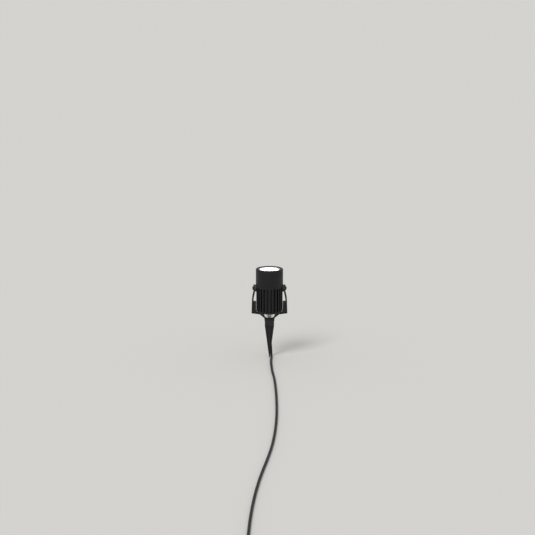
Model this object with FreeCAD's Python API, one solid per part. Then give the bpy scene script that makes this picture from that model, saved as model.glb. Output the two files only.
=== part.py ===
import FreeCAD
import Part
import os
from math import acos, asin, atan2, cos, pi, radians, sin, sqrt, tan

# Garden spike spotlight. Millimetres, +Z up, the origin at the spike's tip.
# The front, which the fork's open side and the plug's lead face, is towards -Y.

V = FreeCAD.Vector

# ---------------------------------------------------------------- driving sizes
RUN_FIT = 0.08           # radial clearance of a pin that turns in its hole
SEAT_FIT = 0.10          # clearance of a piece seated in its pocket
THREAD_FIT = 0.05        # radial clearance between a screw and its plain-cut hole
BODY_GAP = 0.30          # clearance between pieces that lie close but don't touch

SPIKE_LENGTH = 98.0      # tip to the neck's underside
FOOT_ABOVE_SPIKE = 17.2  # neck's underside to the fork's underside
FOOT_THICKNESS = 2.4
FOOT_CLEARANCE = 2.4     # fork's foot to the face of the bottom cap
HEAD_RADIUS = 35.0       # smooth collar
SEAM_ABOVE_PIVOT = 7.0   # tilt axis to the collar's lower edge
HEAD_BELOW_PIVOT = 63.0  # tilt axis to the face of the bottom cap
COLLAR_LENGTH = 44.0     # smooth part of the head, seam to front rim

COLLAR_WALL = 5.5
COLLAR_CHAMFER = 1.0
LEDGE_WIDTH = 2.5        # ring under the glass's edge
LEDGE_THICKNESS = 4.4
BEZEL_WIDTH = 6.6        # head's side to the glass's edge
GLASS_THICKNESS = 3.5
GLASS_SETBACK = 0.6      # rim to the glass's outer face
GLASS_SEAL_THICKNESS = 0.5

FIN_COUNT = 24
FIN_DEPTH = 4.85
FIN_THICKNESS = 3.2
FIN_STEP_IN = 1.15       # finned part's radius under the collar's
FIN_RING_THICKNESS = 4.0
CAVITY_WALL = 5.5        # driver chamber to the bottom of the fins
PLATFORM_THICKNESS = 9.0
PLATFORM_ABOVE_SEAM = 5.7
SPIGOT_LENGTH = 13.0     # neck that the collar screws on
SPIGOT_WALL = 3.2

CAP_STEP_IN = 3.5        # bottom cap's radius under the collar's
CAP_HEADROOM = 1.5       # cap's plug to the driver chamber
CAP_THICKNESS = 5.0
CAP_PLUG_LENGTH = 4.5
CAP_PLUG_WALL = 3.5      # metal left round the cap's plug
CAP_SCREW_COUNT = 4
CAP_SCREW_RADIUS = 1.4
CAP_SCREW_HEAD_RADIUS = 2.7
CAP_SCREW_HEAD_HEIGHT = 2.0
CAP_SCREW_LENGTH = 12.0
CAP_SCREW_SOCKET_RADIUS = 1.25
ORING_RADIUS = 0.95
ORING_GROOVE_DEPTH = 1.8
COLLAR_SEAL_STAND = 1.6  # seam to the collar's O-ring groove
CAP_SEAL_STAND = 1.2     # cap's shoulder to its O-ring groove

LED_BOARD_THICKNESS = 1.6
LED_BOARD_RIM = 1.5      # board's edge to the spigot's bore
THERMAL_PAD_THICKNESS = 0.5
THERMAL_PAD_RIM = 4.5    # board's edge to the heat pad's
LED_SIZE = 13.5
LED_BASE_THICKNESS = 1.0
LED_FACE_RADIUS = 4.6
LED_FACE_THICKNESS = 0.6
BOARD_SCREW_INSET = 4.0  # heat pad's edge to the board's screws
BOARD_SCREW_RADIUS = 1.4
BOARD_SCREW_HEAD_RADIUS = 2.6
BOARD_SCREW_HEAD_HEIGHT = 1.8
BOARD_SCREW_LENGTH = 7.0

OPTIC_GAP = 0.7          # optic's face to the glass
OPTIC_FLANGE_THICKNESS = 2.0
OPTIC_FLANGE_WIDTH = 3.2
OPTIC_FOOT_RADIUS = 9.2
OPTIC_LED_GAP = 2.1
OPTIC_POCKET_RADIUS = 6.2
OPTIC_POCKET_DEPTH = 7.0
HOLDER_GAP = 0.5         # holder to the spigot's bore
HOLDER_WALL = 2.6
HOLDER_FLANGE_THICKNESS = 2.5

DRIVER_BOARD_THICKNESS = 1.6
DRIVER_CAP_GAP = 4.2     # cap's plug to the driver board
DRIVER_HEADROOM = 3.0    # driver board to the chamber's top
DRIVER_GROOVE_DEPTH = 1.4
TRANSFORMER_SIZE = (16.0, 14.0, 16.0)
CAPACITOR_RADIUS = 4.5
CAPACITOR_LENGTH = 14.0
TERMINAL_SIZE = (20.0, 10.0, 10.0)
TERMINAL_STAND = 3.0     # driver board's end to the terminal block
COMPONENT_GAP = 2.0      # a component on the driver board to the next
LEAD_RADIUS = 0.8
LEAD_DROP = 14.0         # chamber's top to the leads' roots on the driver board
LEAD_SLANT = 9.0         # height over which they lean out to the wire hole
LEAD_LAP = 1.0           # their ends over the light source's base
CORE_RADIUS = 0.9
CORE_GAP = 0.09          # between two cores where they leave the sheath
CORE_SPREAD = 5.0        # between two terminals
CORE_STAND = 0.4         # sheath's end to where the cores show
WIRE_HOLE_RADIUS = 2.9
WIRE_HOLE_INSET = 6.0    # heat pad's edge to the wire hole's middle

CORD_RADIUS = 3.0
GLAND_EDGE = 8.2         # side of the cap's plug to the gland's middle
GLAND_ACROSS_FLATS = 16.0
GLAND_BODY_HEIGHT = 5.0
GLAND_NUT_HEIGHT = 11.0
GLAND_DOME_HEIGHT = 4.0
GLAND_MOUTH_WIDTH = 1.4  # ring left round the cord at the dome
GLAND_STEM_RADIUS = 5.9
GLAND_THREAD_RADIUS = 6.4
GLAND_THREAD_LENGTH = 7.0
GLAND_SEAL_WALL = 1.8
GLAND_STEM_STAND = 1.5   # stem's end above the cap's plug
INNER_CORD_STAND = 4.5   # sheath's end above the cap's plug

BOSS_RADIUS = 9.3
BOSS_ROOT = 1.5          # driver chamber to the boss's root
ARM_GAP = 2.4            # collar to the fork's arm
ARM_THICKNESS = 4.2
ARM_EYE_THICKNESS = 3.9  # arm's round end, where the pivot screw goes through
ARM_SPREAD = 8.8         # how far the arm stands out from there to its foot
ARM_LOWER_LENGTH = 30.0  # straight lower part, which the bent upper part goes on from
ARM_LOWER_LEAN = 0.9     # how far that part leans in over its length
PIVOT_SCREW_RADIUS = 3.0
PIVOT_HEAD_RADIUS = 4.9
PIVOT_HEAD_HEIGHT = 2.5
PIVOT_HEAD_EDGE = 0.7    # straight part of the rounded head
PIVOT_HEAD_FLAT = 2.9    # radius of its flat top
PIVOT_SOCKET_RADIUS = 2.0
PIVOT_SOCKET_DEPTH = 1.9
PIVOT_THREAD_LENGTH = 10.0
PIVOT_WASHER_RADIUS = 8.5
PIVOT_WASHER_THICKNESS = 0.5

FOOT_HALF_DEPTH = 8.4
FOOT_LAP = 6.5           # how far the foot reaches in under the bottom cap
FOOT_LIP = 2.0           # foot's end past the slope under it
FOOT_RISE = 2.8          # fork's underside, from there out to the arm's corner
VALLEY_HALF_WIDTH = 6.5
VALLEY_DROP = 11.8       # fork's underside to the bottom of the valley over the neck
VALLEY_STEPS = [         # valley's side, out from its floor's edge and up from the floor
    (0.0, 0.0), (3.5, 1.4), (5.7, 4.1), (6.5, 7.1), (8.0, 9.4), (11.5, 11.0), (15.5, 12.5),
]
NECK_HALF_WIDTH = 13.0
NECK_HALF_DEPTH = 7.5
NECK_DROP = 10.2         # fork's underside to the neck's straight part
WEB_GAP = 0.6            # collar's side to the web's inner face, inwards
WEB_BELOW_PIVOT = 35.0   # inner web that stiffens the arm's lower half
WEB_SET_BACK = 0.6       # arm's edge to the web's
RECESS_DEPTH = 1.0       # shallow panel in the arm's outer face
RECESS_RIM = 2.8
RECESS_INSET = 4.0       # panel's ends from those of the arm's straight part
TENON_LENGTH = 10.0
TENON_SIDE_WALL = 4.0    # spike's wall beside the tenon
TENON_FACE_WALL = 2.5    # spike's wall in front of and behind the tenon

SOCKET_FLOOR = 4.0       # block's solid part under the tenon
NECK_LIP = 1.0           # neck's side over the spike's
SPIKE_BLADE_TOP = 4.0    # blade thickness under the block
SPIKE_BLADE_TIP = 1.2
SPIKE_TIP_HALF_WIDTH = 1.0
INSERT_WALL = 1.6        # plastic left round the threaded insert
SPIKE_CORE_LENGTH = 54.0
SPIKE_CORE_END_RADIUS = 1.4
SPIKE_BOLT_RADIUS = 2.95
SPIKE_BOLT_HEAD_RADIUS = 5.6
SPIKE_BOLT_HEAD_HEIGHT = 2.7
SPIKE_BOLT_STAND = 1.9   # bolt's end past the insert
SPIKE_BOLT_SOCKET_RADIUS = 2.0
INSERT_RADIUS = 4.4
INSERT_LENGTH = 14.0

# Centreline of the cord from the gland, down behind the spike and over the floor.
DROP_POINTS = [
    (0.0, 17.0, 100.0),
    (0.0, 17.0, 78.0),
    (1.6, 22.9, 54.0),
    (3.2, 21.3, 30.3),
    (4.7, 11.3, 13.0),
    (5.25, -6.0, 3.0),
    (4.71, -24.0, 3.0),
]
FLOOR_POINTS = [
    (4.71, -24.0, 3.0),
    (3.75, -56.0, 3.0),
    (5.0, -104.0, 3.0),
    (6.9, -158.0, 3.0),
    (11.0, -208.0, 3.0),
    (14.0, -280.0, 3.0),
    (15.9, -366.0, 3.0),
    (16.7, -452.0, 3.0),
    (16.4, -540.0, 3.0),
    (14.4, -626.0, 3.0),
    (10.6, -710.0, 3.0),
    (4.6, -796.0, 3.0),
    (-4.4, -880.0, 3.0),
    (-14.6, -962.0, 3.0),
    (-23.6, -1044.0, 3.0),
    (-30.6, -1126.0, 3.0),
    (-35.8, -1206.0, 3.0),
    (-39.6, -1286.0, 3.0),
    (-42.0, -1366.0, 3.0),
    (-43.2, -1426.0, 4.3),
    (-43.2, -1474.0, 4.3),
]
COIL_OUTER_RADIUS = 42.0     # centreline of the first half turn
COIL_PITCH = 6.6             # a turn to the next one beside it
COIL_LAYER_STEP = 6.6        # a turn to the one on top of it
COIL_HALF_TURNS_DOWN = 5     # half turns of the lower layer, spiralling in
COIL_HALF_TURNS_UP = 6       # half turns of the upper layer, spiralling out
TAIL_DROPS = [(0.0, 0.0, 0.0), (0.0, -22.0, 0.0), (1.2, -44.0, 3.6), (0.0, -66.0, 7.6), (0.0, -84.0, 7.6)]

TIE_THICKNESS = 1.0
TIE_WIDTH = 9.0
TIE_CORNER = 2.5
TIE_GAP = 0.8

PLUG_RADIUS = 18.5
PLUG_FACE_LENGTH = 18.0
PLUG_SHOULDER_LENGTH = 20.0
PLUG_SHOULDER_RADIUS = 13.5
PLUG_FLARE = 1.5             # shoulder's widening up to the face's ramp
PLUG_RAMP_LENGTH = 4.0
PLUG_FACE_CHAMFER = 1.0
PLUG_NOSE_RADIUS = 7.5
PLUG_NOSE_LENGTH = 6.0
PLUG_RELIEF_LENGTH = 28.0
PLUG_RELIEF_TIP_WALL = 0.7
PLUG_RELIEF_RADIUS = 5.7
PLUG_RELIEF_GROOVES = 5
PLUG_GROOVE_WIDTH = 1.6
PLUG_GROOVE_DEPTH = 0.9
PLUG_PIN_RADIUS = 2.4
PLUG_PIN_LENGTH = 19.0
PLUG_PIN_SPACING = 19.0
PLUG_PIN_ROOT = 8.0          # pin's thicker length inside the body
PLUG_PIN_ROOT_STEP = 0.7
PLUG_SLOT_WIDTH = 6.0
PLUG_SLOT_DEPTH = 3.0
PLUG_CLIP_THICKNESS = 0.8

# ------------------------------------------------------------- derived sizes
SPIKE_TOP = SPIKE_LENGTH
FOOT_BOTTOM = SPIKE_TOP + FOOT_ABOVE_SPIKE
FOOT_TOP = FOOT_BOTTOM + FOOT_THICKNESS
PIVOT_HEIGHT = FOOT_TOP + FOOT_CLEARANCE + HEAD_BELOW_PIVOT
NECK_FLOOR = FOOT_BOTTOM - VALLEY_DROP
SEAM = PIVOT_HEIGHT + SEAM_ABOVE_PIVOT
HEAD_TOP = SEAM + COLLAR_LENGTH
CAP_FACE = PIVOT_HEIGHT - HEAD_BELOW_PIVOT
BODY_BOTTOM = CAP_FACE + CAP_THICKNESS
FIN_RADIUS = HEAD_RADIUS - FIN_STEP_IN
CORE_SHELL_RADIUS = FIN_RADIUS - FIN_DEPTH
CAVITY_RADIUS = CORE_SHELL_RADIUS - CAVITY_WALL
CAP_RADIUS = HEAD_RADIUS - CAP_STEP_IN
GLASS_RADIUS = HEAD_RADIUS - BEZEL_WIDTH
COLLAR_BORE = HEAD_RADIUS - COLLAR_WALL
SPIGOT_RADIUS = COLLAR_BORE - BODY_GAP
SPIGOT_BORE = SPIGOT_RADIUS - SPIGOT_WALL
PLATFORM_TOP = SEAM + PLATFORM_ABOVE_SEAM
CAVITY_TOP = PLATFORM_TOP - PLATFORM_THICKNESS
CAP_BORE = CORE_SHELL_RADIUS - CAP_PLUG_WALL
CAP_PLUG_RADIUS = CAP_BORE - BODY_GAP
CAP_PLUG_TOP = BODY_BOTTOM + CAP_PLUG_LENGTH
CAVITY_BOTTOM = CAP_PLUG_TOP + CAP_HEADROOM
COLLAR_SEAL_LOW = SEAM + COLLAR_SEAL_STAND
CAP_SEAL_LOW = BODY_BOTTOM + CAP_SEAL_STAND
GLAND_OFFSET = CAP_PLUG_RADIUS - GLAND_EDGE
CAP_SCREW_CIRCLE = CORE_SHELL_RADIUS - CAP_SCREW_RADIUS
LEDGE_BORE = GLASS_RADIUS + SEAT_FIT - LEDGE_WIDTH
LEDGE_TOP = HEAD_TOP - GLASS_SETBACK - GLASS_THICKNESS - GLASS_SEAL_THICKNESS
LEDGE_BOTTOM = LEDGE_TOP - LEDGE_THICKNESS
GLASS_BOTTOM = LEDGE_TOP + GLASS_SEAL_THICKNESS
BOARD_RADIUS = SPIGOT_BORE - LED_BOARD_RIM
THERMAL_PAD_RADIUS = BOARD_RADIUS - THERMAL_PAD_RIM
BOARD_SCREW_OFFSET = THERMAL_PAD_RADIUS - BOARD_SCREW_INSET
WIRE_HOLE_OFFSET = THERMAL_PAD_RADIUS - WIRE_HOLE_INSET
BOARD_BOTTOM = PLATFORM_TOP + THERMAL_PAD_THICKNESS
BOARD_TOP = BOARD_BOTTOM + LED_BOARD_THICKNESS
LED_TOP = BOARD_TOP + LED_BASE_THICKNESS + LED_FACE_THICKNESS
OPTIC_TOP = GLASS_BOTTOM - OPTIC_GAP
OPTIC_FLANGE_BOTTOM = OPTIC_TOP - OPTIC_FLANGE_THICKNESS
OPTIC_BOTTOM = LED_TOP + OPTIC_LED_GAP
OPTIC_RADIUS = LEDGE_BORE - BODY_GAP
HOLDER_RADIUS = SPIGOT_BORE - HOLDER_GAP
HOLDER_BORE = HOLDER_RADIUS - HOLDER_WALL
ARM_INNER = HEAD_RADIUS + ARM_GAP
ARM_FACE = ARM_INNER + ARM_EYE_THICKNESS
ARM_CORNER = ARM_INNER + ARM_SPREAD
BOSS_END = ARM_INNER - PIVOT_WASHER_THICKNESS - SEAT_FIT
FOOT_HALF_GAP = CAP_RADIUS - FOOT_LAP
CORNER_HEIGHT = FOOT_BOTTOM + FOOT_RISE
WEB_INNER = HEAD_RADIUS - WEB_GAP
WEB_TOP = PIVOT_HEIGHT - WEB_BELOW_PIVOT
SPIKE_HALF_WIDTH = NECK_HALF_WIDTH - NECK_LIP
TENON_HALF_WIDTH = SPIKE_HALF_WIDTH - TENON_SIDE_WALL
TENON_HALF_DEPTH = NECK_HALF_DEPTH - TENON_FACE_WALL
BLOCK_BOTTOM = SPIKE_TOP - TENON_LENGTH - SOCKET_FLOOR
SPIKE_CORE_RADIUS = INSERT_RADIUS + INSERT_WALL
INSERT_TOP = SPIKE_TOP - TENON_LENGTH - SEAT_FIT
INSERT_BOTTOM = INSERT_TOP - INSERT_LENGTH
SPIKE_BOLT_BOTTOM = INSERT_BOTTOM - SPIKE_BOLT_STAND
GLAND_BODY_BOTTOM = CAP_FACE - GLAND_BODY_HEIGHT
GLAND_NUT_BOTTOM = GLAND_BODY_BOTTOM - GLAND_NUT_HEIGHT
GLAND_BOTTOM = GLAND_NUT_BOTTOM - GLAND_DOME_HEIGHT
GLAND_STEM_TOP = CAP_PLUG_TOP + GLAND_STEM_STAND
CORD_HOLE_RADIUS = CORD_RADIUS + 2 * SEAT_FIT
BOARD_FACE = DRIVER_BOARD_THICKNESS / 2
DRIVER_BOTTOM = CAP_PLUG_TOP + DRIVER_CAP_GAP
TERMINAL_BOTTOM = DRIVER_BOTTOM + TERMINAL_STAND
TRANSFORMER_BOTTOM = TERMINAL_BOTTOM + TERMINAL_SIZE[2] + COMPONENT_GAP
CAPACITOR_BOTTOM = TRANSFORMER_BOTTOM + TRANSFORMER_SIZE[2] + COMPONENT_GAP
PLUG_FACE = PLUG_RELIEF_LENGTH + PLUG_NOSE_LENGTH + PLUG_SHOULDER_LENGTH + PLUG_FACE_LENGTH
COIL_START = V(*FLOOR_POINTS[-1])


# ------------------------------------------------------------------- helpers
def cylinder(radius, low, high, x=0.0, y=0.0):
    """An upright cylinder between two heights."""
    return Part.makeCylinder(radius, high - low, V(x, y, low))


def ring(outer, inner, low, high, x=0.0, y=0.0):
    """An upright ring between two heights."""
    return cylinder(outer, low, high, x, y).cut(cylinder(inner, low - 1, high + 1, x, y))


def block(x_range, y_range, z_range):
    """A box from three (low, high) pairs."""
    size = [high - low for low, high in (x_range, y_range, z_range)]
    return Part.makeBox(*size, V(x_range[0], y_range[0], z_range[0]))


def cross_bar(radius, x_from, x_to, end_radius=None):
    """A cylinder, or a cone, along X on the tilt axis."""
    start = V(min(x_from, x_to), 0, PIVOT_HEIGHT)
    if end_radius is None:
        return Part.makeCylinder(radius, abs(x_to - x_from), start, V(1, 0, 0))
    radii = (radius, end_radius) if x_to > x_from else (end_radius, radius)
    return Part.makeCone(*radii, abs(x_to - x_from), start, V(1, 0, 0))


def revolved(profile):
    """A solid turned about Z from a closed (radius, height) outline."""
    points = [V(r, 0, z) for r, z in profile]
    face = Part.Face(Part.makePolygon(points + points[:1]))
    return face.revolve(V(0, 0, 0), V(0, 0, 1), 360)


def prism_xz(outline, half_depth):
    """A prism through Y from a closed (x, z) outline."""
    points = [V(x, -half_depth, z) for x, z in outline]
    face = Part.Face(Part.makePolygon(points + points[:1]))
    return face.extrude(V(0, 2 * half_depth, 0))


def prism_yz(outline, x_low, x_high):
    """A prism along X from a closed (y, z) outline."""
    points = [V(x_low, y, z) for y, z in outline]
    face = Part.Face(Part.makePolygon(points + points[:1]))
    return face.extrude(V(x_high - x_low, 0, 0))


def hexagon(across_flats, low, high, x=0.0, y=0.0):
    """An upright hexagonal bar with a flat towards the front."""
    reach = across_flats / sqrt(3)
    corners = [
        V(x + reach * cos(radians(60 * k)), y + reach * sin(radians(60 * k)), low)
        for k in range(6)
    ]
    return Part.Face(Part.makePolygon(corners + corners[:1])).extrude(V(0, 0, high - low))


def mirrored(shape):
    """The same piece on the other side, across the YZ plane."""
    return shape.mirror(V(0, 0, 0), V(1, 0, 0))


def rounded_route(points):
    """Straight runs joined by tangent arcs. Returns the wire, its length and the arcs' radii."""
    points = [V(*p) for p in points]
    edges, radii, here = [], [], points[0]
    for before, corner, after in zip(points, points[1:], points[2:]):
        run_in, run_out = corner - before, after - corner
        heading_in = V(run_in).normalize()
        heading_out = V(run_out).normalize()
        half_turn = acos(max(-1.0, min(1.0, heading_in.dot(heading_out)))) / 2
        reach = 0.45 * min(run_in.Length, run_out.Length)
        radius = reach / tan(half_turn)
        start = corner - heading_in * reach
        end = corner + heading_out * reach
        inward = (heading_out - heading_in).normalize()
        middle = corner + inward * (radius / cos(half_turn) - radius)
        edges.append(Part.LineSegment(here, start).toShape())
        edges.append(Part.Arc(start, middle, end).toShape())
        radii.append(radius)
        here = end
    edges.append(Part.LineSegment(here, points[-1]).toShape())
    return Part.Wire(edges), sum(e.Length for e in edges), radii


def swept(wire, radius):
    """A round tube of that radius along a wire."""
    start = wire.Edges[0].valueAt(wire.Edges[0].FirstParameter)
    heading = wire.Edges[0].tangentAt(wire.Edges[0].FirstParameter)
    circle = Part.Wire([Part.makeCircle(radius, start, heading)])
    return wire.makePipeShell([circle], True, False)


def cord_stretch(name, points):
    """One free stretch of the cord, with its length and bends printed."""
    wire, length, radii = rounded_route(points)
    tube = swept(wire, CORD_RADIUS)
    expected = pi * CORD_RADIUS ** 2 * length
    print(f"{name}: {length:.1f} mm, radii {min(radii):.0f} to {max(radii):.0f} mm,"
          f" volume {tube.Volume / expected:.4f} of section times length")
    return tube


def wires(routes, radius):
    """Several separate insulated wires as one group."""
    return Part.makeCompound([swept(rounded_route(r)[0], radius) for r in routes])


# ---------------------------------------------------------------------- head
def front_collar():
    inner_edge = GLASS_RADIUS + SEAT_FIT
    return revolved([
        (COLLAR_BORE, SEAM),
        (HEAD_RADIUS - COLLAR_CHAMFER / 2, SEAM),
        (HEAD_RADIUS, SEAM + COLLAR_CHAMFER / 2),
        (HEAD_RADIUS, HEAD_TOP - COLLAR_CHAMFER),
        (HEAD_RADIUS - COLLAR_CHAMFER, HEAD_TOP),
        (inner_edge, HEAD_TOP),
        (inner_edge, LEDGE_TOP),
        (LEDGE_BORE, LEDGE_TOP),
        (LEDGE_BORE, LEDGE_BOTTOM),
        (COLLAR_BORE, LEDGE_BOTTOM),
    ])


def front_glass():
    return cylinder(GLASS_RADIUS, GLASS_BOTTOM, GLASS_BOTTOM + GLASS_THICKNESS)


def glass_seal():
    return ring(GLASS_RADIUS, LEDGE_BORE + SEAT_FIT, LEDGE_TOP, GLASS_BOTTOM)


def lens_optic():
    """A solid collimating lens: a flanged cup with a hollow over the light source."""
    shoulder = OPTIC_RADIUS - OPTIC_FLANGE_WIDTH
    mid_height = (OPTIC_FLANGE_BOTTOM + OPTIC_BOTTOM) / 2
    mid_radius = (shoulder + OPTIC_FOOT_RADIUS) / 2 + OPTIC_FLANGE_THICKNESS
    corners = [
        V(OPTIC_FOOT_RADIUS, 0, OPTIC_BOTTOM),
        V(OPTIC_POCKET_RADIUS, 0, OPTIC_BOTTOM),
        V(OPTIC_POCKET_RADIUS - 1, 0, OPTIC_BOTTOM + OPTIC_POCKET_DEPTH),
        V(0, 0, OPTIC_BOTTOM + OPTIC_POCKET_DEPTH),
        V(0, 0, OPTIC_TOP),
        V(OPTIC_RADIUS, 0, OPTIC_TOP),
        V(OPTIC_RADIUS, 0, OPTIC_FLANGE_BOTTOM),
        V(shoulder, 0, OPTIC_FLANGE_BOTTOM),
    ]
    edges = [Part.LineSegment(a, b).toShape() for a, b in zip(corners, corners[1:])]
    flank = Part.Arc(corners[-1], V(mid_radius, 0, mid_height), corners[0])
    face = Part.Face(Part.Wire(edges + [flank.toShape()]))
    return face.revolve(V(0, 0, 0), V(0, 0, 1), 360)


def optic_holder():
    upstand = OPTIC_RADIUS - SEAT_FIT
    return revolved([
        (HOLDER_BORE, BOARD_TOP),
        (HOLDER_RADIUS, BOARD_TOP),
        (HOLDER_RADIUS, LEDGE_BOTTOM - HOLDER_FLANGE_THICKNESS),
        (SPIGOT_RADIUS, LEDGE_BOTTOM - HOLDER_FLANGE_THICKNESS),
        (SPIGOT_RADIUS, LEDGE_BOTTOM),
        (upstand, LEDGE_BOTTOM),
        (upstand, OPTIC_FLANGE_BOTTOM),
        (HOLDER_BORE, OPTIC_FLANGE_BOTTOM),
    ])


def led_chip():
    half = LED_SIZE / 2
    base_top = BOARD_TOP + LED_BASE_THICKNESS
    base = block((-half, half), (-half, half), (BOARD_TOP, base_top))
    return base.fuse(cylinder(LED_FACE_RADIUS, base_top, LED_TOP))


def board_screw_places():
    return [(BOARD_SCREW_OFFSET, 0.0), (-BOARD_SCREW_OFFSET, 0.0)]


def pierced_disc(radius, low, high):
    """A disc under the light source, with its screw holes and wire hole."""
    disc = cylinder(radius, low, high)
    for x, y in board_screw_places():
        disc = disc.cut(cylinder(BOARD_SCREW_RADIUS + SEAT_FIT, low - 1, high + 1, x, y))
    return disc.cut(cylinder(WIRE_HOLE_RADIUS, low - 1, high + 1, 0, WIRE_HOLE_OFFSET))


def led_board():
    return pierced_disc(BOARD_RADIUS, BOARD_BOTTOM, BOARD_TOP)


def thermal_pad():
    return pierced_disc(THERMAL_PAD_RADIUS, PLATFORM_TOP, BOARD_BOTTOM)


def board_screws():
    screws = []
    for x, y in board_screw_places():
        head = cylinder(BOARD_SCREW_HEAD_RADIUS, BOARD_TOP, BOARD_TOP + BOARD_SCREW_HEAD_HEIGHT, x, y)
        shank = cylinder(BOARD_SCREW_RADIUS, BOARD_TOP - BOARD_SCREW_LENGTH, BOARD_TOP, x, y)
        screws.append(head.fuse(shank))
    return Part.makeCompound(screws)


def fin_ribs():
    """Cooling fins round the driver chamber, trimmed to the finned part's radius."""
    long_fin = block(
        (CORE_SHELL_RADIUS - CAVITY_WALL / 2, FIN_RADIUS + 1),
        (-FIN_THICKNESS / 2, FIN_THICKNESS / 2),
        (BODY_BOTTOM, SEAM),
    )
    fins = []
    for k in range(FIN_COUNT):
        fin = long_fin.copy()
        fin.rotate(V(0, 0, 0), V(0, 0, 1), 360.0 * k / FIN_COUNT)
        fins.append(fin)
    envelope = cylinder(FIN_RADIUS, BODY_BOTTOM, SEAM)
    return [fin.common(envelope) for fin in fins]


def pivot_boss():
    """The side boss that the pivot screw threads into. Its top laps the collar with a gap."""
    boss = cross_bar(BOSS_RADIUS, CAVITY_RADIUS + BOSS_ROOT, BOSS_END)
    over_collar = block(
        (0, HEAD_RADIUS + BODY_GAP),
        (-BOSS_RADIUS - 1, BOSS_RADIUS + 1),
        (SEAM - BODY_GAP, HEAD_TOP),
    )
    return boss.cut(over_collar)


def heat_sink_body():
    shell = cylinder(CORE_SHELL_RADIUS, BODY_BOTTOM, SEAM)
    flange = cylinder(FIN_RADIUS, SEAM - FIN_RING_THICKNESS, SEAM)
    spigot = cylinder(SPIGOT_RADIUS, SEAM, SEAM + SPIGOT_LENGTH)
    boss = pivot_boss()
    body = shell.multiFuse(fin_ribs() + [flange, spigot, boss, mirrored(boss)])
    cuts = [
        cylinder(SPIGOT_BORE, PLATFORM_TOP, SEAM + SPIGOT_LENGTH + 1),
        cylinder(CAVITY_RADIUS, CAVITY_BOTTOM, CAVITY_TOP),
        cylinder(CAP_BORE, BODY_BOTTOM - 1, CAVITY_BOTTOM),
        cylinder(WIRE_HOLE_RADIUS, CAVITY_TOP - 1, PLATFORM_TOP + 1, 0, WIRE_HOLE_OFFSET),
        collar_seal_groove(),
    ]
    reach = CAVITY_RADIUS + DRIVER_GROOVE_DEPTH
    half = DRIVER_BOARD_THICKNESS / 2 + SEAT_FIT
    cuts.append(block((-reach, reach), (-half, half), (CAVITY_BOTTOM, CAVITY_TOP)))
    depth = BOARD_SCREW_LENGTH - LED_BOARD_THICKNESS
    for x, y in board_screw_places():
        hole = cylinder(BOARD_SCREW_RADIUS + THREAD_FIT, PLATFORM_TOP - depth, PLATFORM_TOP + 1, x, y)
        cuts.append(hole)
    for x, y in cap_screw_places():
        top = BODY_BOTTOM + CAP_SCREW_LENGTH
        cuts.append(cylinder(CAP_SCREW_RADIUS + THREAD_FIT, BODY_BOTTOM - 1, top, x, y))
    thread = cross_bar(PIVOT_SCREW_RADIUS, BOSS_END - PIVOT_THREAD_LENGTH - BODY_GAP, BOSS_END + 1)
    cuts += [thread, mirrored(thread)]
    return body.cut(Part.makeCompound(cuts))


def seal_groove(radius, low):
    """The ring cut in a neck of that radius that an O-ring lies in."""
    high = low + 2 * ORING_RADIUS + 2 * SEAT_FIT
    return ring(radius + 1, radius - ORING_GROOVE_DEPTH, low, high)


def seal_ring(radius, low):
    """The O-ring in that groove."""
    centre = radius - ORING_GROOVE_DEPTH + ORING_RADIUS + THREAD_FIT
    return Part.makeTorus(centre, ORING_RADIUS, V(0, 0, low + ORING_RADIUS + SEAT_FIT))


def collar_seal_groove():
    return seal_groove(SPIGOT_RADIUS, COLLAR_SEAL_LOW)


def collar_seal():
    return seal_ring(SPIGOT_RADIUS, COLLAR_SEAL_LOW)


def cap_seal():
    return seal_ring(CAP_PLUG_RADIUS, CAP_SEAL_LOW)


def cap_screw_places():
    angles = [radians(45 + 360.0 * k / CAP_SCREW_COUNT) for k in range(CAP_SCREW_COUNT)]
    return [(CAP_SCREW_CIRCLE * cos(a), CAP_SCREW_CIRCLE * sin(a)) for a in angles]


def bottom_cap():
    cap = revolved([
        (0, CAP_FACE),
        (CAP_RADIUS - COLLAR_CHAMFER, CAP_FACE),
        (CAP_RADIUS, CAP_FACE + COLLAR_CHAMFER),
        (CAP_RADIUS, BODY_BOTTOM),
        (CAP_PLUG_RADIUS, BODY_BOTTOM),
        (CAP_PLUG_RADIUS, CAP_PLUG_TOP),
        (0, CAP_PLUG_TOP),
    ])
    cap = cap.cut(seal_groove(CAP_PLUG_RADIUS, CAP_SEAL_LOW))
    recess = CAP_FACE + CAP_SCREW_HEAD_HEIGHT + 2 * SEAT_FIT
    for x, y in cap_screw_places():
        cap = cap.cut(cylinder(CAP_SCREW_RADIUS + SEAT_FIT, CAP_FACE - 1, BODY_BOTTOM + 1, x, y))
        cap = cap.cut(cylinder(CAP_SCREW_HEAD_RADIUS + SEAT_FIT, CAP_FACE - 1, recess, x, y))
    stem_hole = GLAND_STEM_RADIUS + THREAD_FIT
    return cap.cut(cylinder(stem_hole, CAP_FACE - 1, CAP_PLUG_TOP + 1, 0, GLAND_OFFSET))


def cap_screws():
    screws = []
    head_top = CAP_FACE + CAP_SCREW_HEAD_HEIGHT + 2 * SEAT_FIT
    head_low = head_top - CAP_SCREW_HEAD_HEIGHT
    for x, y in cap_screw_places():
        head = cylinder(CAP_SCREW_HEAD_RADIUS, head_low, head_top, x, y)
        shank = cylinder(CAP_SCREW_RADIUS, head_top, head_top + CAP_SCREW_LENGTH, x, y)
        socket = hexagon(2 * CAP_SCREW_SOCKET_RADIUS, head_low - 1, head_low + CAP_SCREW_SOCKET_RADIUS, x, y)
        screws.append(head.fuse(shank).cut(socket))
    return Part.makeCompound(screws)


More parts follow.
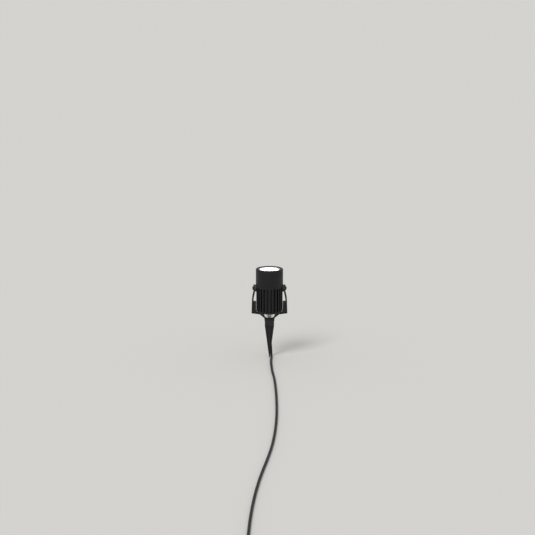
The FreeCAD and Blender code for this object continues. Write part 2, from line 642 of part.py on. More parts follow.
def gland_body():
    hex_part = hexagon(GLAND_ACROSS_FLATS, GLAND_BODY_BOTTOM, CAP_FACE, 0, GLAND_OFFSET)
    stem = cylinder(GLAND_STEM_RADIUS, CAP_FACE, GLAND_STEM_TOP, 0, GLAND_OFFSET)
    thread_low = GLAND_BODY_BOTTOM - GLAND_THREAD_LENGTH
    thread = cylinder(GLAND_THREAD_RADIUS, thread_low, GLAND_BODY_BOTTOM, 0, GLAND_OFFSET)
    body = hex_part.multiFuse([stem, thread])
    seal_room = CORD_HOLE_RADIUS + GLAND_SEAL_WALL + SEAT_FIT
    body = body.cut(cylinder(CORD_HOLE_RADIUS, thread_low - 1, GLAND_STEM_TOP + 1, 0, GLAND_OFFSET))
    return body.cut(cylinder(seal_room, thread_low - 1, GLAND_BODY_BOTTOM + 1, 0, GLAND_OFFSET))


def gland_nut():
    hex_part = hexagon(GLAND_ACROSS_FLATS, GLAND_NUT_BOTTOM, GLAND_BODY_BOTTOM, 0, GLAND_OFFSET)
    dome = Part.makeCone(
        CORD_HOLE_RADIUS + GLAND_MOUTH_WIDTH,
        GLAND_ACROSS_FLATS / 2 - SEAT_FIT,
        GLAND_DOME_HEIGHT,
        V(0, GLAND_OFFSET, GLAND_BOTTOM),
    )
    thread_low = GLAND_BODY_BOTTOM - GLAND_THREAD_LENGTH
    nut = hex_part.fuse(dome)
    room = cylinder(
        GLAND_THREAD_RADIUS + SEAT_FIT, thread_low - BODY_GAP, GLAND_BODY_BOTTOM + 1, 0, GLAND_OFFSET
    )
    bore = cylinder(CORD_HOLE_RADIUS, GLAND_BOTTOM - 1, GLAND_BODY_BOTTOM + 1, 0, GLAND_OFFSET)
    return nut.cut(room).cut(bore)


def gland_seal():
    low = GLAND_BODY_BOTTOM - GLAND_THREAD_LENGTH
    return ring(CORD_HOLE_RADIUS + GLAND_SEAL_WALL, CORD_HOLE_RADIUS, low, GLAND_BODY_BOTTOM, 0, GLAND_OFFSET)


def inner_cord_end():
    top = CAP_PLUG_TOP + INNER_CORD_STAND
    return cylinder(CORD_RADIUS, GLAND_BOTTOM, top, 0, GLAND_OFFSET)


def driver_board():
    reach = CAVITY_RADIUS + DRIVER_GROOVE_DEPTH - SEAT_FIT
    return block((-reach, reach), (-BOARD_FACE, BOARD_FACE), (DRIVER_BOTTOM, CAVITY_TOP - DRIVER_HEADROOM))


def on_board(size, low):
    """A boxy component that stands on the driver board, centred across it."""
    width, depth, height = size
    return block((-width / 2, width / 2), (BOARD_FACE, BOARD_FACE + depth), (low, low + height))


def terminal_block():
    return on_board(TERMINAL_SIZE, TERMINAL_BOTTOM)


def driver_transformer():
    return on_board(TRANSFORMER_SIZE, TRANSFORMER_BOTTOM)


def driver_capacitor():
    across = TRANSFORMER_SIZE[0] / 2 + CAPACITOR_RADIUS / 2
    top = CAPACITOR_BOTTOM + CAPACITOR_LENGTH
    return cylinder(CAPACITOR_RADIUS, CAPACITOR_BOTTOM, top, across, BOARD_FACE + CAPACITOR_RADIUS)


def mains_cores():
    """Live, neutral and earth cores from the sheath's end to the terminal block."""
    start = CAP_PLUG_TOP + INNER_CORD_STAND + CORE_STAND
    entry_y = BOARD_FACE + TERMINAL_SIZE[1]
    entry_z = TERMINAL_BOTTOM + TERMINAL_SIZE[2] / 2
    routes = []
    for side in (-1, 0, 1):
        root = (side * (2 * CORE_RADIUS + CORE_GAP), GLAND_OFFSET, start)
        bend = (side * CORE_SPREAD, GLAND_OFFSET, entry_z)
        routes.append([root, bend, (side * CORE_SPREAD, entry_y, entry_z)])
    return wires(routes, CORE_RADIUS)


def led_leads():
    """The pair of leads from the driver board up to the light source."""
    level = LED_TOP + LEAD_RADIUS
    low = CAVITY_TOP - LEAD_DROP
    routes = []
    for side in (-1, 1):
        x = side * 2 * LEAD_RADIUS
        routes.append([
            (x, BOARD_FACE + LEAD_RADIUS, low),
            (x, WIRE_HOLE_OFFSET, low + LEAD_SLANT),
            (x, WIRE_HOLE_OFFSET, level),
            (x, LED_SIZE / 2 - LEAD_LAP, level),
        ])
    return wires(routes, LEAD_RADIUS)


def pivot_screw():
    """A round-headed socket screw along X. Its head bears on the fork's arm."""
    seat = ARM_FACE + SEAT_FIT
    edge, top = seat + PIVOT_HEAD_EDGE, seat + PIVOT_HEAD_HEIGHT
    shank = cross_bar(PIVOT_SCREW_RADIUS - THREAD_FIT, BOSS_END - PIVOT_THREAD_LENGTH, seat + THREAD_FIT)
    corners = [V(seat, 0, 0), V(seat, 0, PIVOT_HEAD_RADIUS), V(edge, 0, PIVOT_HEAD_RADIUS)]
    end = V(top, 0, PIVOT_HEAD_FLAT)
    round_off = PIVOT_HEAD_RADIUS - PIVOT_HEAD_FLAT
    crown = V(edge + (top - edge) * sin(pi / 4), 0, PIVOT_HEAD_FLAT + round_off * cos(pi / 4))
    edges = [Part.LineSegment(a, b).toShape() for a, b in zip(corners, corners[1:])]
    edges.append(Part.Arc(corners[-1], crown, end).toShape())
    edges.append(Part.LineSegment(end, V(top, 0, 0)).toShape())
    edges.append(Part.LineSegment(V(top, 0, 0), corners[0]).toShape())
    head = Part.Face(Part.Wire(edges)).revolve(V(0, 0, 0), V(1, 0, 0), 360)
    head.translate(V(0, 0, PIVOT_HEIGHT))
    socket = hexagon(2 * PIVOT_SOCKET_RADIUS, top - PIVOT_SOCKET_DEPTH, top + 1)
    socket.rotate(V(0, 0, 0), V(0, 1, 0), 90)
    socket.translate(V(0, 0, PIVOT_HEIGHT))
    return shank.fuse(head).cut(socket)


def pivot_washer():
    disc = cross_bar(PIVOT_WASHER_RADIUS, BOSS_END, BOSS_END + PIVOT_WASHER_THICKNESS)
    return disc.cut(cross_bar(PIVOT_SCREW_RADIUS + THREAD_FIT, BOSS_END - 1, ARM_FACE))


# ---------------------------------------------------------------------- stand
def side_outline():
    """The fork seen from its side: round top, narrowing arm, foot and neck."""
    rise = PIVOT_HEIGHT - CORNER_HEIGHT
    reach = sqrt(rise ** 2 + FOOT_HALF_DEPTH ** 2)
    lean = asin(FOOT_HALF_DEPTH / reach) - asin(BOSS_RADIUS / reach)
    half = [
        (BOSS_RADIUS * cos(lean), PIVOT_HEIGHT + BOSS_RADIUS * sin(lean)),
        (FOOT_HALF_DEPTH, CORNER_HEIGHT),
        (FOOT_HALF_DEPTH, FOOT_BOTTOM),
        (NECK_HALF_DEPTH, FOOT_BOTTOM - NECK_DROP),
        (NECK_HALF_DEPTH, SPIKE_TOP),
    ]
    return half + [(-y, z) for y, z in reversed(half)]


def foot_outline():
    """The foot seen from the front, from one arm's corner to the other's, with the neck."""
    outer = [
        (NECK_HALF_WIDTH, SPIKE_TOP),
        (NECK_HALF_WIDTH, FOOT_BOTTOM - NECK_DROP),
        (FOOT_HALF_GAP, FOOT_BOTTOM),
        (ARM_CORNER, CORNER_HEIGHT),
        (ARM_CORNER - ARM_THICKNESS / 2, FOOT_TOP + FOOT_RISE),
        (FOOT_HALF_GAP + FOOT_LIP, FOOT_TOP),
    ]
    outer += [(VALLEY_HALF_WIDTH + out, NECK_FLOOR + up) for out, up in reversed(VALLEY_STEPS)]
    return outer + [(-x, z) for x, z in reversed(outer)]


class ArmLine:
    """The line of the arm's outer face, straight from its foot and then bent in to the pivot."""

    def __init__(self):
        self.lean = atan2(ARM_LOWER_LEAN, ARM_LOWER_LENGTH)
        bend_x = ARM_CORNER - ARM_LOWER_LEAN
        bend_z = CORNER_HEIGHT + ARM_LOWER_LENGTH
        run_x = bend_x - ARM_FACE
        run_z = PIVOT_HEIGHT - BOSS_RADIUS - bend_z
        turn = 2 * (atan2(run_x, run_z) - self.lean)
        self.radius = sqrt(run_x ** 2 + run_z ** 2) / (2 * sin(turn / 2))
        self.end = self.lean + turn
        self.centre = (bend_x - self.radius * cos(self.lean), bend_z - self.radius * sin(self.lean))

    def on_arc(self, angle, inset):
        """A point of the bent part, that far in from the outer face."""
        reach = self.radius - inset
        return V(self.centre[0] + reach * cos(angle), 0, self.centre[1] + reach * sin(angle))

    def on_straight(self, rise, inset):
        """A point of the straight part, at that height over the arm's corner."""
        along = (ARM_LOWER_LENGTH - rise) / cos(self.lean)
        return self.on_arc(self.lean, inset) + V(sin(self.lean), 0, -cos(self.lean)) * along

    def inner_end(self):
        """Where the inner face comes to the pivot's flat inner side."""
        return acos((ARM_INNER - self.centre[0]) / (self.radius - ARM_THICKNESS))


def arm(line):
    """The arm as seen from the front, as thick as it is deep at its deepest."""
    top = PIVOT_HEIGHT + BOSS_RADIUS
    thick, inner_end = ARM_THICKNESS, line.inner_end()
    outer = [line.on_arc(share, 0) for share in (line.lean, (line.lean + line.end) / 2, line.end)]
    inner = [line.on_arc(share, thick) for share in (inner_end, (inner_end + line.lean) / 2, line.lean)]
    straight = [
        (line.on_straight(0, 0), outer[0]),
        (outer[2], V(ARM_FACE, 0, top)),
        (V(ARM_FACE, 0, top), V(ARM_INNER, 0, top)),
        (V(ARM_INNER, 0, top), inner[0]),
        (inner[2], line.on_straight(0, thick)),
        (line.on_straight(0, thick), line.on_straight(0, 0)),
    ]
    edges = [Part.LineSegment(a, b).toShape() for a, b in straight]
    edges.insert(1, Part.Arc(*outer).toShape())
    edges.insert(5, Part.Arc(*inner).toShape())
    face = Part.Face(Part.Wire(edges))
    face.translate(V(0, -BOSS_RADIUS - 1, 0))
    return face.extrude(V(0, 2 * BOSS_RADIUS + 2, 0))


def arm_web(line):
    """The inner web that fills the gap beside the head's lower half."""
    rise = WEB_TOP - CORNER_HEIGHT
    outer = [line.on_straight(at, ARM_THICKNESS / 2) for at in (0, rise)]
    outline = [(WEB_INNER, CORNER_HEIGHT), (outer[0].x, CORNER_HEIGHT)]
    outline += [(outer[1].x, WEB_TOP), (WEB_INNER, WEB_TOP)]
    return prism_xz(outline, FOOT_HALF_DEPTH - WEB_SET_BACK)


def arm_recess(line):
    """The shallow panel in the arm's outer face."""
    low, high = RECESS_INSET, ARM_LOWER_LENGTH - RECESS_INSET
    corners = [line.on_straight(low, RECESS_DEPTH), line.on_straight(high, RECESS_DEPTH)]
    corners += [line.on_straight(high, -1), line.on_straight(low, -1)]
    return prism_xz([(corner.x, corner.z) for corner in corners], FOOT_HALF_DEPTH - RECESS_RIM)


def fork():
    reach = ARM_CORNER + 1
    line = ArmLine()
    side = prism_yz(side_outline(), -reach, reach).fuse(cross_bar(BOSS_RADIUS, -reach, reach))
    upright, web, recess = arm(line), arm_web(line), arm_recess(line)
    body = prism_xz(foot_outline(), FOOT_HALF_DEPTH + 1).multiFuse([upright, mirrored(upright)]).common(side)
    tenon = block(
        (-TENON_HALF_WIDTH, TENON_HALF_WIDTH),
        (-TENON_HALF_DEPTH, TENON_HALF_DEPTH),
        (SPIKE_TOP - TENON_LENGTH, SPIKE_TOP + 1),
    )
    body = body.multiFuse([web, mirrored(web), tenon])
    hole = cross_bar(PIVOT_SCREW_RADIUS + RUN_FIT - THREAD_FIT, -reach, reach)
    bolt = cylinder(SPIKE_BOLT_RADIUS + SEAT_FIT, SPIKE_TOP - TENON_LENGTH - 1, NECK_FLOOR + 1)
    bolt_sink = Part.makeCone(
        SPIKE_BOLT_RADIUS + SEAT_FIT,
        SPIKE_BOLT_HEAD_RADIUS + 2 * SEAT_FIT,
        SPIKE_BOLT_HEAD_HEIGHT + 2 * SEAT_FIT,
        V(0, 0, NECK_FLOOR - SPIKE_BOLT_HEAD_HEIGHT - 2 * SEAT_FIT),
    )
    return body.cut(Part.makeCompound([recess, mirrored(recess), hole, bolt, bolt_sink])).removeSplitter()


def cross_section(half_width, half_depth, thickness, height):
    """A four-bladed cross as a closed wire at a height."""
    half = thickness / 2
    quarter = [(half_width, half), (half, half), (half, half_depth)]
    points = quarter + [(-x, y) for x, y in reversed(quarter)]
    points += [(-x, -y) for x, y in quarter] + [(x, -y) for x, y in reversed(quarter)]
    corners = [V(x, y, height) for x, y in points]
    return Part.makePolygon(corners + corners[:1])


def spike():
    top = block(
        (-SPIKE_HALF_WIDTH, SPIKE_HALF_WIDTH),
        (-NECK_HALF_DEPTH, NECK_HALF_DEPTH),
        (BLOCK_BOTTOM, SPIKE_TOP),
    )
    blades = Part.makeLoft([
        cross_section(SPIKE_TIP_HALF_WIDTH, SPIKE_TIP_HALF_WIDTH, SPIKE_BLADE_TIP, 0),
        cross_section(SPIKE_HALF_WIDTH, NECK_HALF_DEPTH, SPIKE_BLADE_TOP, BLOCK_BOTTOM),
    ], True, True)
    core = Part.makeCone(
        SPIKE_CORE_END_RADIUS, SPIKE_CORE_RADIUS, SPIKE_CORE_LENGTH, V(0, 0, BLOCK_BOTTOM - SPIKE_CORE_LENGTH)
    )
    body = top.multiFuse([blades, core])
    wide, deep = TENON_HALF_WIDTH + SEAT_FIT, TENON_HALF_DEPTH + SEAT_FIT
    socket = block((-wide, wide), (-deep, deep), (INSERT_TOP, SPIKE_TOP + 1))
    insert_hole = cylinder(INSERT_RADIUS + THREAD_FIT, INSERT_BOTTOM, INSERT_TOP + 1)
    bolt_room = cylinder(SPIKE_BOLT_RADIUS + BODY_GAP, SPIKE_BOLT_BOTTOM - 1, INSERT_BOTTOM + 1)
    return body.cut(socket).cut(insert_hole).cut(bolt_room)


def spike_insert():
    return ring(INSERT_RADIUS, SPIKE_BOLT_RADIUS + THREAD_FIT, INSERT_BOTTOM, INSERT_TOP)


def spike_bolt():
    """The countersunk bolt that draws the spike onto the fork's tenon."""
    head_low = NECK_FLOOR - SPIKE_BOLT_HEAD_HEIGHT
    head = Part.makeCone(SPIKE_BOLT_RADIUS, SPIKE_BOLT_HEAD_RADIUS, SPIKE_BOLT_HEAD_HEIGHT, V(0, 0, head_low))
    shank = cylinder(SPIKE_BOLT_RADIUS, SPIKE_BOLT_BOTTOM, head_low)
    socket = hexagon(2 * SPIKE_BOLT_SOCKET_RADIUS, NECK_FLOOR - SPIKE_BOLT_SOCKET_RADIUS, NECK_FLOOR + 1)
    return head.fuse(shank).cut(socket)


# ----------------------------------------------------------------------- cord
def coil_half_turns():
    """Radius of each half turn, in order, the climbing one included."""
    down = [COIL_OUTER_RADIUS - COIL_PITCH / 2 * k for k in range(COIL_HALF_TURNS_DOWN)]
    climb = [down[-1] - COIL_PITCH / 2]
    up = [climb[0] + COIL_PITCH / 2 * (k + 1) for k in range(COIL_HALF_TURNS_UP)]
    return down, climb, up


def half_circle(start, heading, radius, tilt=0.0):
    """Two quarter arcs that turn left by half a circle and climb while they turn.

    Returns the arcs and the end point. The first arc leans up by the tilt and the second comes level.
    """
    across = V(-heading.y, heading.x, 0)
    rising = across * cos(tilt) + V(0, 0, sin(tilt))
    corner = start + heading * radius + rising * radius
    first_mid = start + heading * (radius * sin(pi / 4)) + rising * (radius * (1 - cos(pi / 4)))
    end = corner + rising * radius - heading * radius
    second_mid = corner + rising * (radius * sin(pi / 4)) - heading * (radius * (1 - cos(pi / 4)))
    arcs = [Part.Arc(start, first_mid, corner).toShape(), Part.Arc(corner, second_mid, end).toShape()]
    return arcs, end


def coil_wire():
    """The wound cord's centreline, straight for one diameter at each end."""
    down, climb, up = coil_half_turns()
    heading, here = V(0, -1, 0), COIL_START
    lead = here + heading * (2 * CORD_RADIUS)
    edges = [Part.LineSegment(here, lead).toShape()]
    here = lead
    for radius in down + climb + up:
        tilt = asin(COIL_LAYER_STEP / (2 * radius)) if radius == climb[0] else 0.0
        arcs, here = half_circle(here, heading, radius, tilt)
        edges += arcs
        heading = heading * -1
    end = here + heading * (2 * CORD_RADIUS)
    edges.append(Part.LineSegment(here, end).toShape())
    return Part.Wire(edges), end


def coil_gap(wire, step=2.0):
    """Least gap between two turns, measured on points along the centreline."""
    points = []
    for edge in wire.Edges:
        count = max(2, int(edge.Length / step))
        points += edge.discretize(count)[:-1]
    skip = int(6 * CORD_RADIUS / step)
    least = min(
        points[i].distanceToPoint(points[j])
        for i in range(len(points))
        for j in range(i + skip, len(points))
        if j - i > skip
    )
    return least - 2 * CORD_RADIUS


def cord_coil():
    wire, _ = coil_wire()
    length = sum(e.Length for e in wire.Edges)
    tube = swept(wire, CORD_RADIUS)
    expected = pi * CORD_RADIUS ** 2 * length
    print(f"cord_coil: {length:.1f} mm, least gap {coil_gap(wire):.2f} mm,"
          f" volume {tube.Volume / expected:.4f} of section times length")
    return tube


def tail_points():
    _, end = coil_wire()
    return [tuple(end + V(*step)) for step in TAIL_DROPS]


def coil_crossings():
    """Where the turns cross the line through the coil's middle, along X."""
    down, climb, up = coil_half_turns()
    here, side, places = COIL_START.x, 1, []
    for radius in down + climb + up:
        here += side * 2 * radius
        side = -side
        places.append(here)
    return places


def coil_tie():
    """A flat band round the bundle, opposite the side where the cord comes and goes."""
    climb = coil_half_turns()[1]
    mid = COIL_START + V(0, -2 * CORD_RADIUS, 0)
    crossings = coil_crossings()
    outer = max(crossings) + CORD_RADIUS + TIE_GAP
    inner = min(x for x in crossings if x > mid.x + climb[0]) - CORD_RADIUS - TIE_GAP
    high = mid.z + COIL_LAYER_STEP + CORD_RADIUS + BODY_GAP
    low = mid.z - CORD_RADIUS - BODY_GAP

    def band(margin):
        box = block(
            (inner - margin, outer + margin),
            (mid.y - TIE_WIDTH / 2, mid.y + TIE_WIDTH / 2),
            (low - margin, high + margin),
        )
        along = [e for e in box.Edges if abs(e.tangentAt(e.FirstParameter).y) > 0.9]
        return box.makeFillet(TIE_CORNER + margin, along)

    return band(TIE_THICKNESS).cut(band(0.0))


# ----------------------------------------------------------------------- plug
def along_plug(profile):
    """A solid turned about the plug's axis, which runs level towards -Y."""
    entry = V(*tail_points()[-1])
    solid = revolved(profile)
    solid.rotate(V(0, 0, 0), V(1, 0, 0), 90)
    solid.translate(entry)
    return solid


def plug_slots():
    """The two grooves in the plug's sides that its earth clips lie in."""
    centre = V(*tail_points()[-1])
    half = PLUG_SLOT_WIDTH / 2
    low = PLUG_RADIUS - PLUG_SLOT_DEPTH
    slots = []
    for side in (-1, 1):
        edges = sorted((centre.x + side * low, centre.x + side * (PLUG_RADIUS + 1)))
        slots.append(block(
            tuple(edges),
            (centre.y - PLUG_FACE - 1, centre.y - PLUG_FACE + PLUG_FACE_LENGTH),
            (centre.z - half, centre.z + half),
        ))
    return slots


def plug_body():
    body = along_plug([
        (0, PLUG_RELIEF_LENGTH),
        (PLUG_NOSE_RADIUS, PLUG_RELIEF_LENGTH),
        (PLUG_SHOULDER_RADIUS, PLUG_RELIEF_LENGTH + PLUG_NOSE_LENGTH),
        (PLUG_SHOULDER_RADIUS + PLUG_FLARE, PLUG_FACE - PLUG_FACE_LENGTH - PLUG_RAMP_LENGTH),
        (PLUG_RADIUS, PLUG_FACE - PLUG_FACE_LENGTH),
        (PLUG_RADIUS, PLUG_FACE - PLUG_FACE_CHAMFER),
        (PLUG_RADIUS - PLUG_FACE_CHAMFER, PLUG_FACE),
        (0, PLUG_FACE),
    ])
    body = body.cut(Part.makeCompound(plug_slots()))
    for offset in pin_offsets():
        room = PLUG_PIN_RADIUS + PLUG_PIN_ROOT_STEP + THREAD_FIT
        body = body.cut(pin_bar(room, PLUG_FACE - PLUG_PIN_ROOT, PLUG_FACE + 1, offset))
    return body


def pin_offsets():
    return [-PLUG_PIN_SPACING / 2, PLUG_PIN_SPACING / 2]


def pin_bar(radius, start, end, offset):
    """A round bar along the plug's axis, above or below it."""
    entry = V(*tail_points()[-1])
    return Part.makeCylinder(radius, end - start, entry + V(0, -start, offset), V(0, -1, 0))


def plug_pins():
    pins = []
    for offset in pin_offsets():
        pin = pin_bar(PLUG_PIN_RADIUS, PLUG_FACE, PLUG_FACE + PLUG_PIN_LENGTH, offset)
        far = max(pin.Edges, key=lambda e: -e.CenterOfMass.y)
        pin = pin.makeChamfer(PLUG_PIN_RADIUS / 3, [far])
        root_radius = PLUG_PIN_RADIUS + PLUG_PIN_ROOT_STEP
        pins.append(pin.fuse(pin_bar(root_radius, PLUG_FACE - PLUG_PIN_ROOT, PLUG_FACE, offset)))
    return Part.makeCompound(pins)


def plug_earth_clips():
    centre = V(*tail_points()[-1])
    half = PLUG_SLOT_WIDTH / 2 - BODY_GAP
    floor_of_slot = PLUG_RADIUS - PLUG_SLOT_DEPTH
    clips = []
    for side in (-1, 1):
        near = centre.x + side * floor_of_slot
        far = near + side * PLUG_CLIP_THICKNESS
        clips.append(block(
            tuple(sorted((near, far))),
            (centre.y - PLUG_FACE + 1, centre.y - PLUG_FACE + PLUG_FACE_LENGTH),
            (centre.z - half, centre.z + half),
        ))
    return Part.makeCompound(clips)


def plug_relief():
    """The tapered, grooved sleeve that the cord goes into."""
    tip = CORD_RADIUS + PLUG_RELIEF_TIP_WALL
    profile = [(0, 0), (tip, 0)]
    step = PLUG_RELIEF_LENGTH / (PLUG_RELIEF_GROOVES + 1)
    for k in range(1, PLUG_RELIEF_GROOVES + 1):
        place = k * step
        radius = tip + (PLUG_RELIEF_RADIUS - tip) * k / PLUG_RELIEF_GROOVES
        low, high = place - PLUG_GROOVE_WIDTH / 2, place + PLUG_GROOVE_WIDTH / 2
        profile += [
            (radius, low),
            (radius - PLUG_GROOVE_DEPTH, low),
            (radius - PLUG_GROOVE_DEPTH, high),
            (radius, high),
        ]
    profile += [(PLUG_NOSE_RADIUS - SEAT_FIT, PLUG_RELIEF_LENGTH), (0, PLUG_RELIEF_LENGTH)]
    return along_plug(profile)


# --------------------------------------------------------------------- output
NODES = {
    "front_collar": front_collar,
    "front_glass": front_glass,
    "glass_seal": glass_seal,
    "lens_optic": lens_optic,
    "optic_holder": optic_holder,
    "led_chip": led_chip,
    "led_board": led_board,
    "thermal_pad": thermal_pad,
    "board_screws": board_screws,
    "heat_sink_body": heat_sink_body,
    "collar_seal": collar_seal,
    "driver_board": driver_board,
    "driver_transformer": driver_transformer,
    "driver_capacitor": driver_capacitor,
    "terminal_block": terminal_block,
    "led_leads": led_leads,
    "mains_cores": mains_cores,
    "bottom_cap": bottom_cap,
    "cap_seal": cap_seal,
    "cap_screws": cap_screws,
    "gland_body": gland_body,
    "gland_nut": gland_nut,
    "gland_seal": gland_seal,
    "inner_cord_end": inner_cord_end,
    "pivot_screw_right": pivot_screw,
    "pivot_screw_left": lambda: mirrored(pivot_screw()),
    "pivot_washer_right": pivot_washer,
    "pivot_washer_left": lambda: mirrored(pivot_washer()),
    "fork": fork,
    "spike": spike,
    "spike_insert": spike_insert,
    "spike_bolt": spike_bolt,
    "cord_drop": lambda: cord_stretch("cord_drop", DROP_POINTS),
    "cord_floor": lambda: cord_stretch("cord_floor", FLOOR_POINTS),
    "cord_coil": cord_coil,
    "cord_tail": lambda: cord_stretch("cord_tail", tail_points()),
    "coil_tie": coil_tie,
    "plug_relief": plug_relief,
    "plug_body": plug_body,
    "plug_pins": plug_pins,
    "plug_earth_clips": plug_earth_clips,
}

os.makedirs("parts", exist_ok=True)
for name, make in NODES.items():
    shape = make()
    if not shape.isValid():
        print(f"{name}: the solid is not valid")
    shape.exportStep(f"parts/{name}.step")
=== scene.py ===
"""Garden spike spotlight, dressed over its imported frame. Metres, +Z up, the spike's tip at the origin.

The sizes in the classes are in millimetres and their angles in degrees, unless they say otherwise.
"""
import logging
import math
from dataclasses import dataclass, replace
from enum import Enum
from typing import Callable

import bpy
from mathutils import Matrix, Vector


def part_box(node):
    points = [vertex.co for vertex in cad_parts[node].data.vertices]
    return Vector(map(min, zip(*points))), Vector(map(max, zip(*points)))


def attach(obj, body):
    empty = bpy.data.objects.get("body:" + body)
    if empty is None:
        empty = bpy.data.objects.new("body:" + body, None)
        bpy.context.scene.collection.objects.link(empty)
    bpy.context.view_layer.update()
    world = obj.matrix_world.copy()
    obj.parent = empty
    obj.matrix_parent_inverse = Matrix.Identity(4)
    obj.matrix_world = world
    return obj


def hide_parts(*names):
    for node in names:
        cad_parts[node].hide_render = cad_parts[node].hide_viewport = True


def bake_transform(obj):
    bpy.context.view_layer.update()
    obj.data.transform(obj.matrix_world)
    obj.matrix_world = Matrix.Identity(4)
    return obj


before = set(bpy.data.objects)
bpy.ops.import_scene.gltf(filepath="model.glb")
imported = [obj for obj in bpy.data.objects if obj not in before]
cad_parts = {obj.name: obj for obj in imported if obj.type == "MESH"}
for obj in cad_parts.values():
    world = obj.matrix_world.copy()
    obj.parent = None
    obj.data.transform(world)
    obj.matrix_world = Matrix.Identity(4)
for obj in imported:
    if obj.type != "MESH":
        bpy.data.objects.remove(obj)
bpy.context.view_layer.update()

LOG = logging.getLogger("spotlight")
Point = tuple[float, float, float]
Section = list[tuple[float, float]]
Pairs = tuple[tuple[float, float], ...]

SEAM_GAP = 0.002  # mm, points nearer than this are merged
EDGE_TURN = 30.0  # degrees, the least turn of an edge that is rounded
EDGE_FACES = 2  # faces across a rounded edge
UPWARD = 0.9  # height of a face's normal from which the face is a top


# ---- small tools
def mm(value: float) -> float:
    """Turns millimetres into metres."""
    return value / 1000.0


def place(point: Point) -> Vector:
    """Turns a point in millimetres into one in metres."""
    return Vector(point) / 1000.0


def linear(colour: str) -> tuple[float, float, float, float]:
    """Turns an sRGB hex colour into linear light.

    Args:
        colour: six hex digits after a hash sign.

    Returns:
        Red, green, blue and an alpha of one.
    """
    parts = [int(colour[i:i + 2], 16) / 255.0 for i in (1, 3, 5)]
    light = [c / 12.92 if c <= 0.04045 else ((c + 0.055) / 1.055) ** 2.4 for c in parts]
    return light[0], light[1], light[2], 1.0


def add_node(
    tree: bpy.types.NodeTree, kind: str, settings: dict | None = None, links: dict | None = None
) -> bpy.types.Node:
    """Adds one shader node.

    Args:
        tree: the node tree that gets it.
        kind: Blender's type name of the node.
        settings: attributes by name, and socket values by input name or number.
        links: output sockets by input name or number.

    Returns:
        The new node.
    """
    node = tree.nodes.new(kind)
    for key, value in (settings or {}).items():
        if isinstance(key, str) and hasattr(node, key):
            setattr(node, key, value)
        else:
            node.inputs[key].default_value = value
    for key, socket in (links or {}).items():
        tree.links.new(socket, node.inputs[key])
    return node


def pick_only(piece: bpy.types.Object) -> None:
    """Makes one object the only selected and the active one."""
    bpy.ops.object.select_all(action="DESELECT")
    piece.select_set(True)
    bpy.context.view_layer.objects.active = piece


def new_piece(name: str, primitive: Callable[..., set], **sizes: object) -> bpy.types.Object:
    """Adds a primitive with nothing else selected.

    Args:
        name: the piece's name.
        primitive: the operator that adds it.
        sizes: the operator's own settings.

    Returns:
        The new object.
    """
    bpy.ops.object.select_all(action="DESELECT")
    primitive(**sizes)
    piece = bpy.context.object
    piece.name = piece.data.name = name
    return piece


def shape_mesh(piece: bpy.types.Object, work: Callable[[], None]) -> None:
    """Runs mesh operators on one object in edit mode.

    Args:
        piece: the object to shape.
        work: a function that calls the operators.
    """
    pick_only(piece)
    bpy.ops.object.mode_set(mode="EDIT")
    work()
    bpy.ops.object.mode_set(mode="OBJECT")


def pick_faces(piece: bpy.types.Object, wanted: Callable[[bpy.types.MeshPolygon], bool]) -> None:
    """Selects the faces that pass a test and nothing else.

    Args:
        piece: an object in object mode.
        wanted: the test on one face.
    """
    mesh = piece.data
    for part in (mesh.edges, mesh.vertices):
        for item in part:
            item.select = False
    for face in mesh.polygons:
        face.select = wanted(face)
    pick_only(piece)
    bpy.ops.object.mode_set(mode="EDIT")
    bpy.ops.mesh.select_mode(type="FACE")
    bpy.ops.object.mode_set(mode="OBJECT")


def is_top(face: bpy.types.MeshPolygon) -> bool:
    """Tells whether a face looks up."""
    return face.normal.z > UPWARD


def close_seams() -> None:
    """Merges the points that meet, for use in edit mode."""
    bpy.ops.mesh.select_all(action="SELECT")
    bpy.ops.mesh.remove_doubles(threshold=mm(SEAM_GAP))


def face_outwards() -> None:
    """Turns every face outwards, for use in edit mode."""
    bpy.ops.mesh.select_all(action="SELECT")
    bpy.ops.mesh.normals_make_consistent(inside=False)


def settle(piece: bpy.types.Object) -> None:
    """Puts an object's place, turn and size into its mesh."""
    pick_only(piece)
    bpy.ops.object.transform_apply(location=True, rotation=True, scale=True)


def soften(piece: bpy.types.Object, width: float, angle: float = EDGE_TURN) -> None:
    """Rounds a finished piece's edges and smooths its shading.

    Args:
        piece: a piece whose scale is one.
        width: the rounding's width in millimetres.
        angle: the least turn, in degrees, at which an edge is rounded.
    """
    pick_only(piece)
    bevel = piece.modifiers.new("rounding", "BEVEL")
    bevel.width, bevel.segments = mm(width), EDGE_FACES
    bevel.limit_method, bevel.angle_limit = "ANGLE", math.radians(angle)
    bpy.ops.object.modifier_apply(modifier=bevel.name)
    bpy.ops.object.shade_smooth_by_angle(angle=math.radians(angle))


def join_pieces(name: str, pieces: list[bpy.types.Object]) -> bpy.types.Object:
    """Joins copies into one object.

    Args:
        name: the joined object's name.
        pieces: objects that each have their own mesh.

    Returns:
        The joined object.
    """
    bpy.ops.object.select_all(action="DESELECT")
    for piece in pieces:
        piece.select_set(True)
    bpy.context.view_layer.objects.active = pieces[0]
    bpy.ops.object.join()
    joined = bpy.context.view_layer.objects.active
    joined.name = joined.data.name = name
    return joined


def copy_of(piece: bpy.types.Object, move: Matrix) -> bpy.types.Object:
    """Copies an object with a mesh of its own.

    Args:
        piece: the object to copy.
        move: where the copy's mesh goes from the first one's place.

    Returns:
        The copy.
    """
    twin = piece.copy()
    twin.data = piece.data.copy()
    twin.data.transform(move)
    bpy.context.scene.collection.objects.link(twin)
    return twin


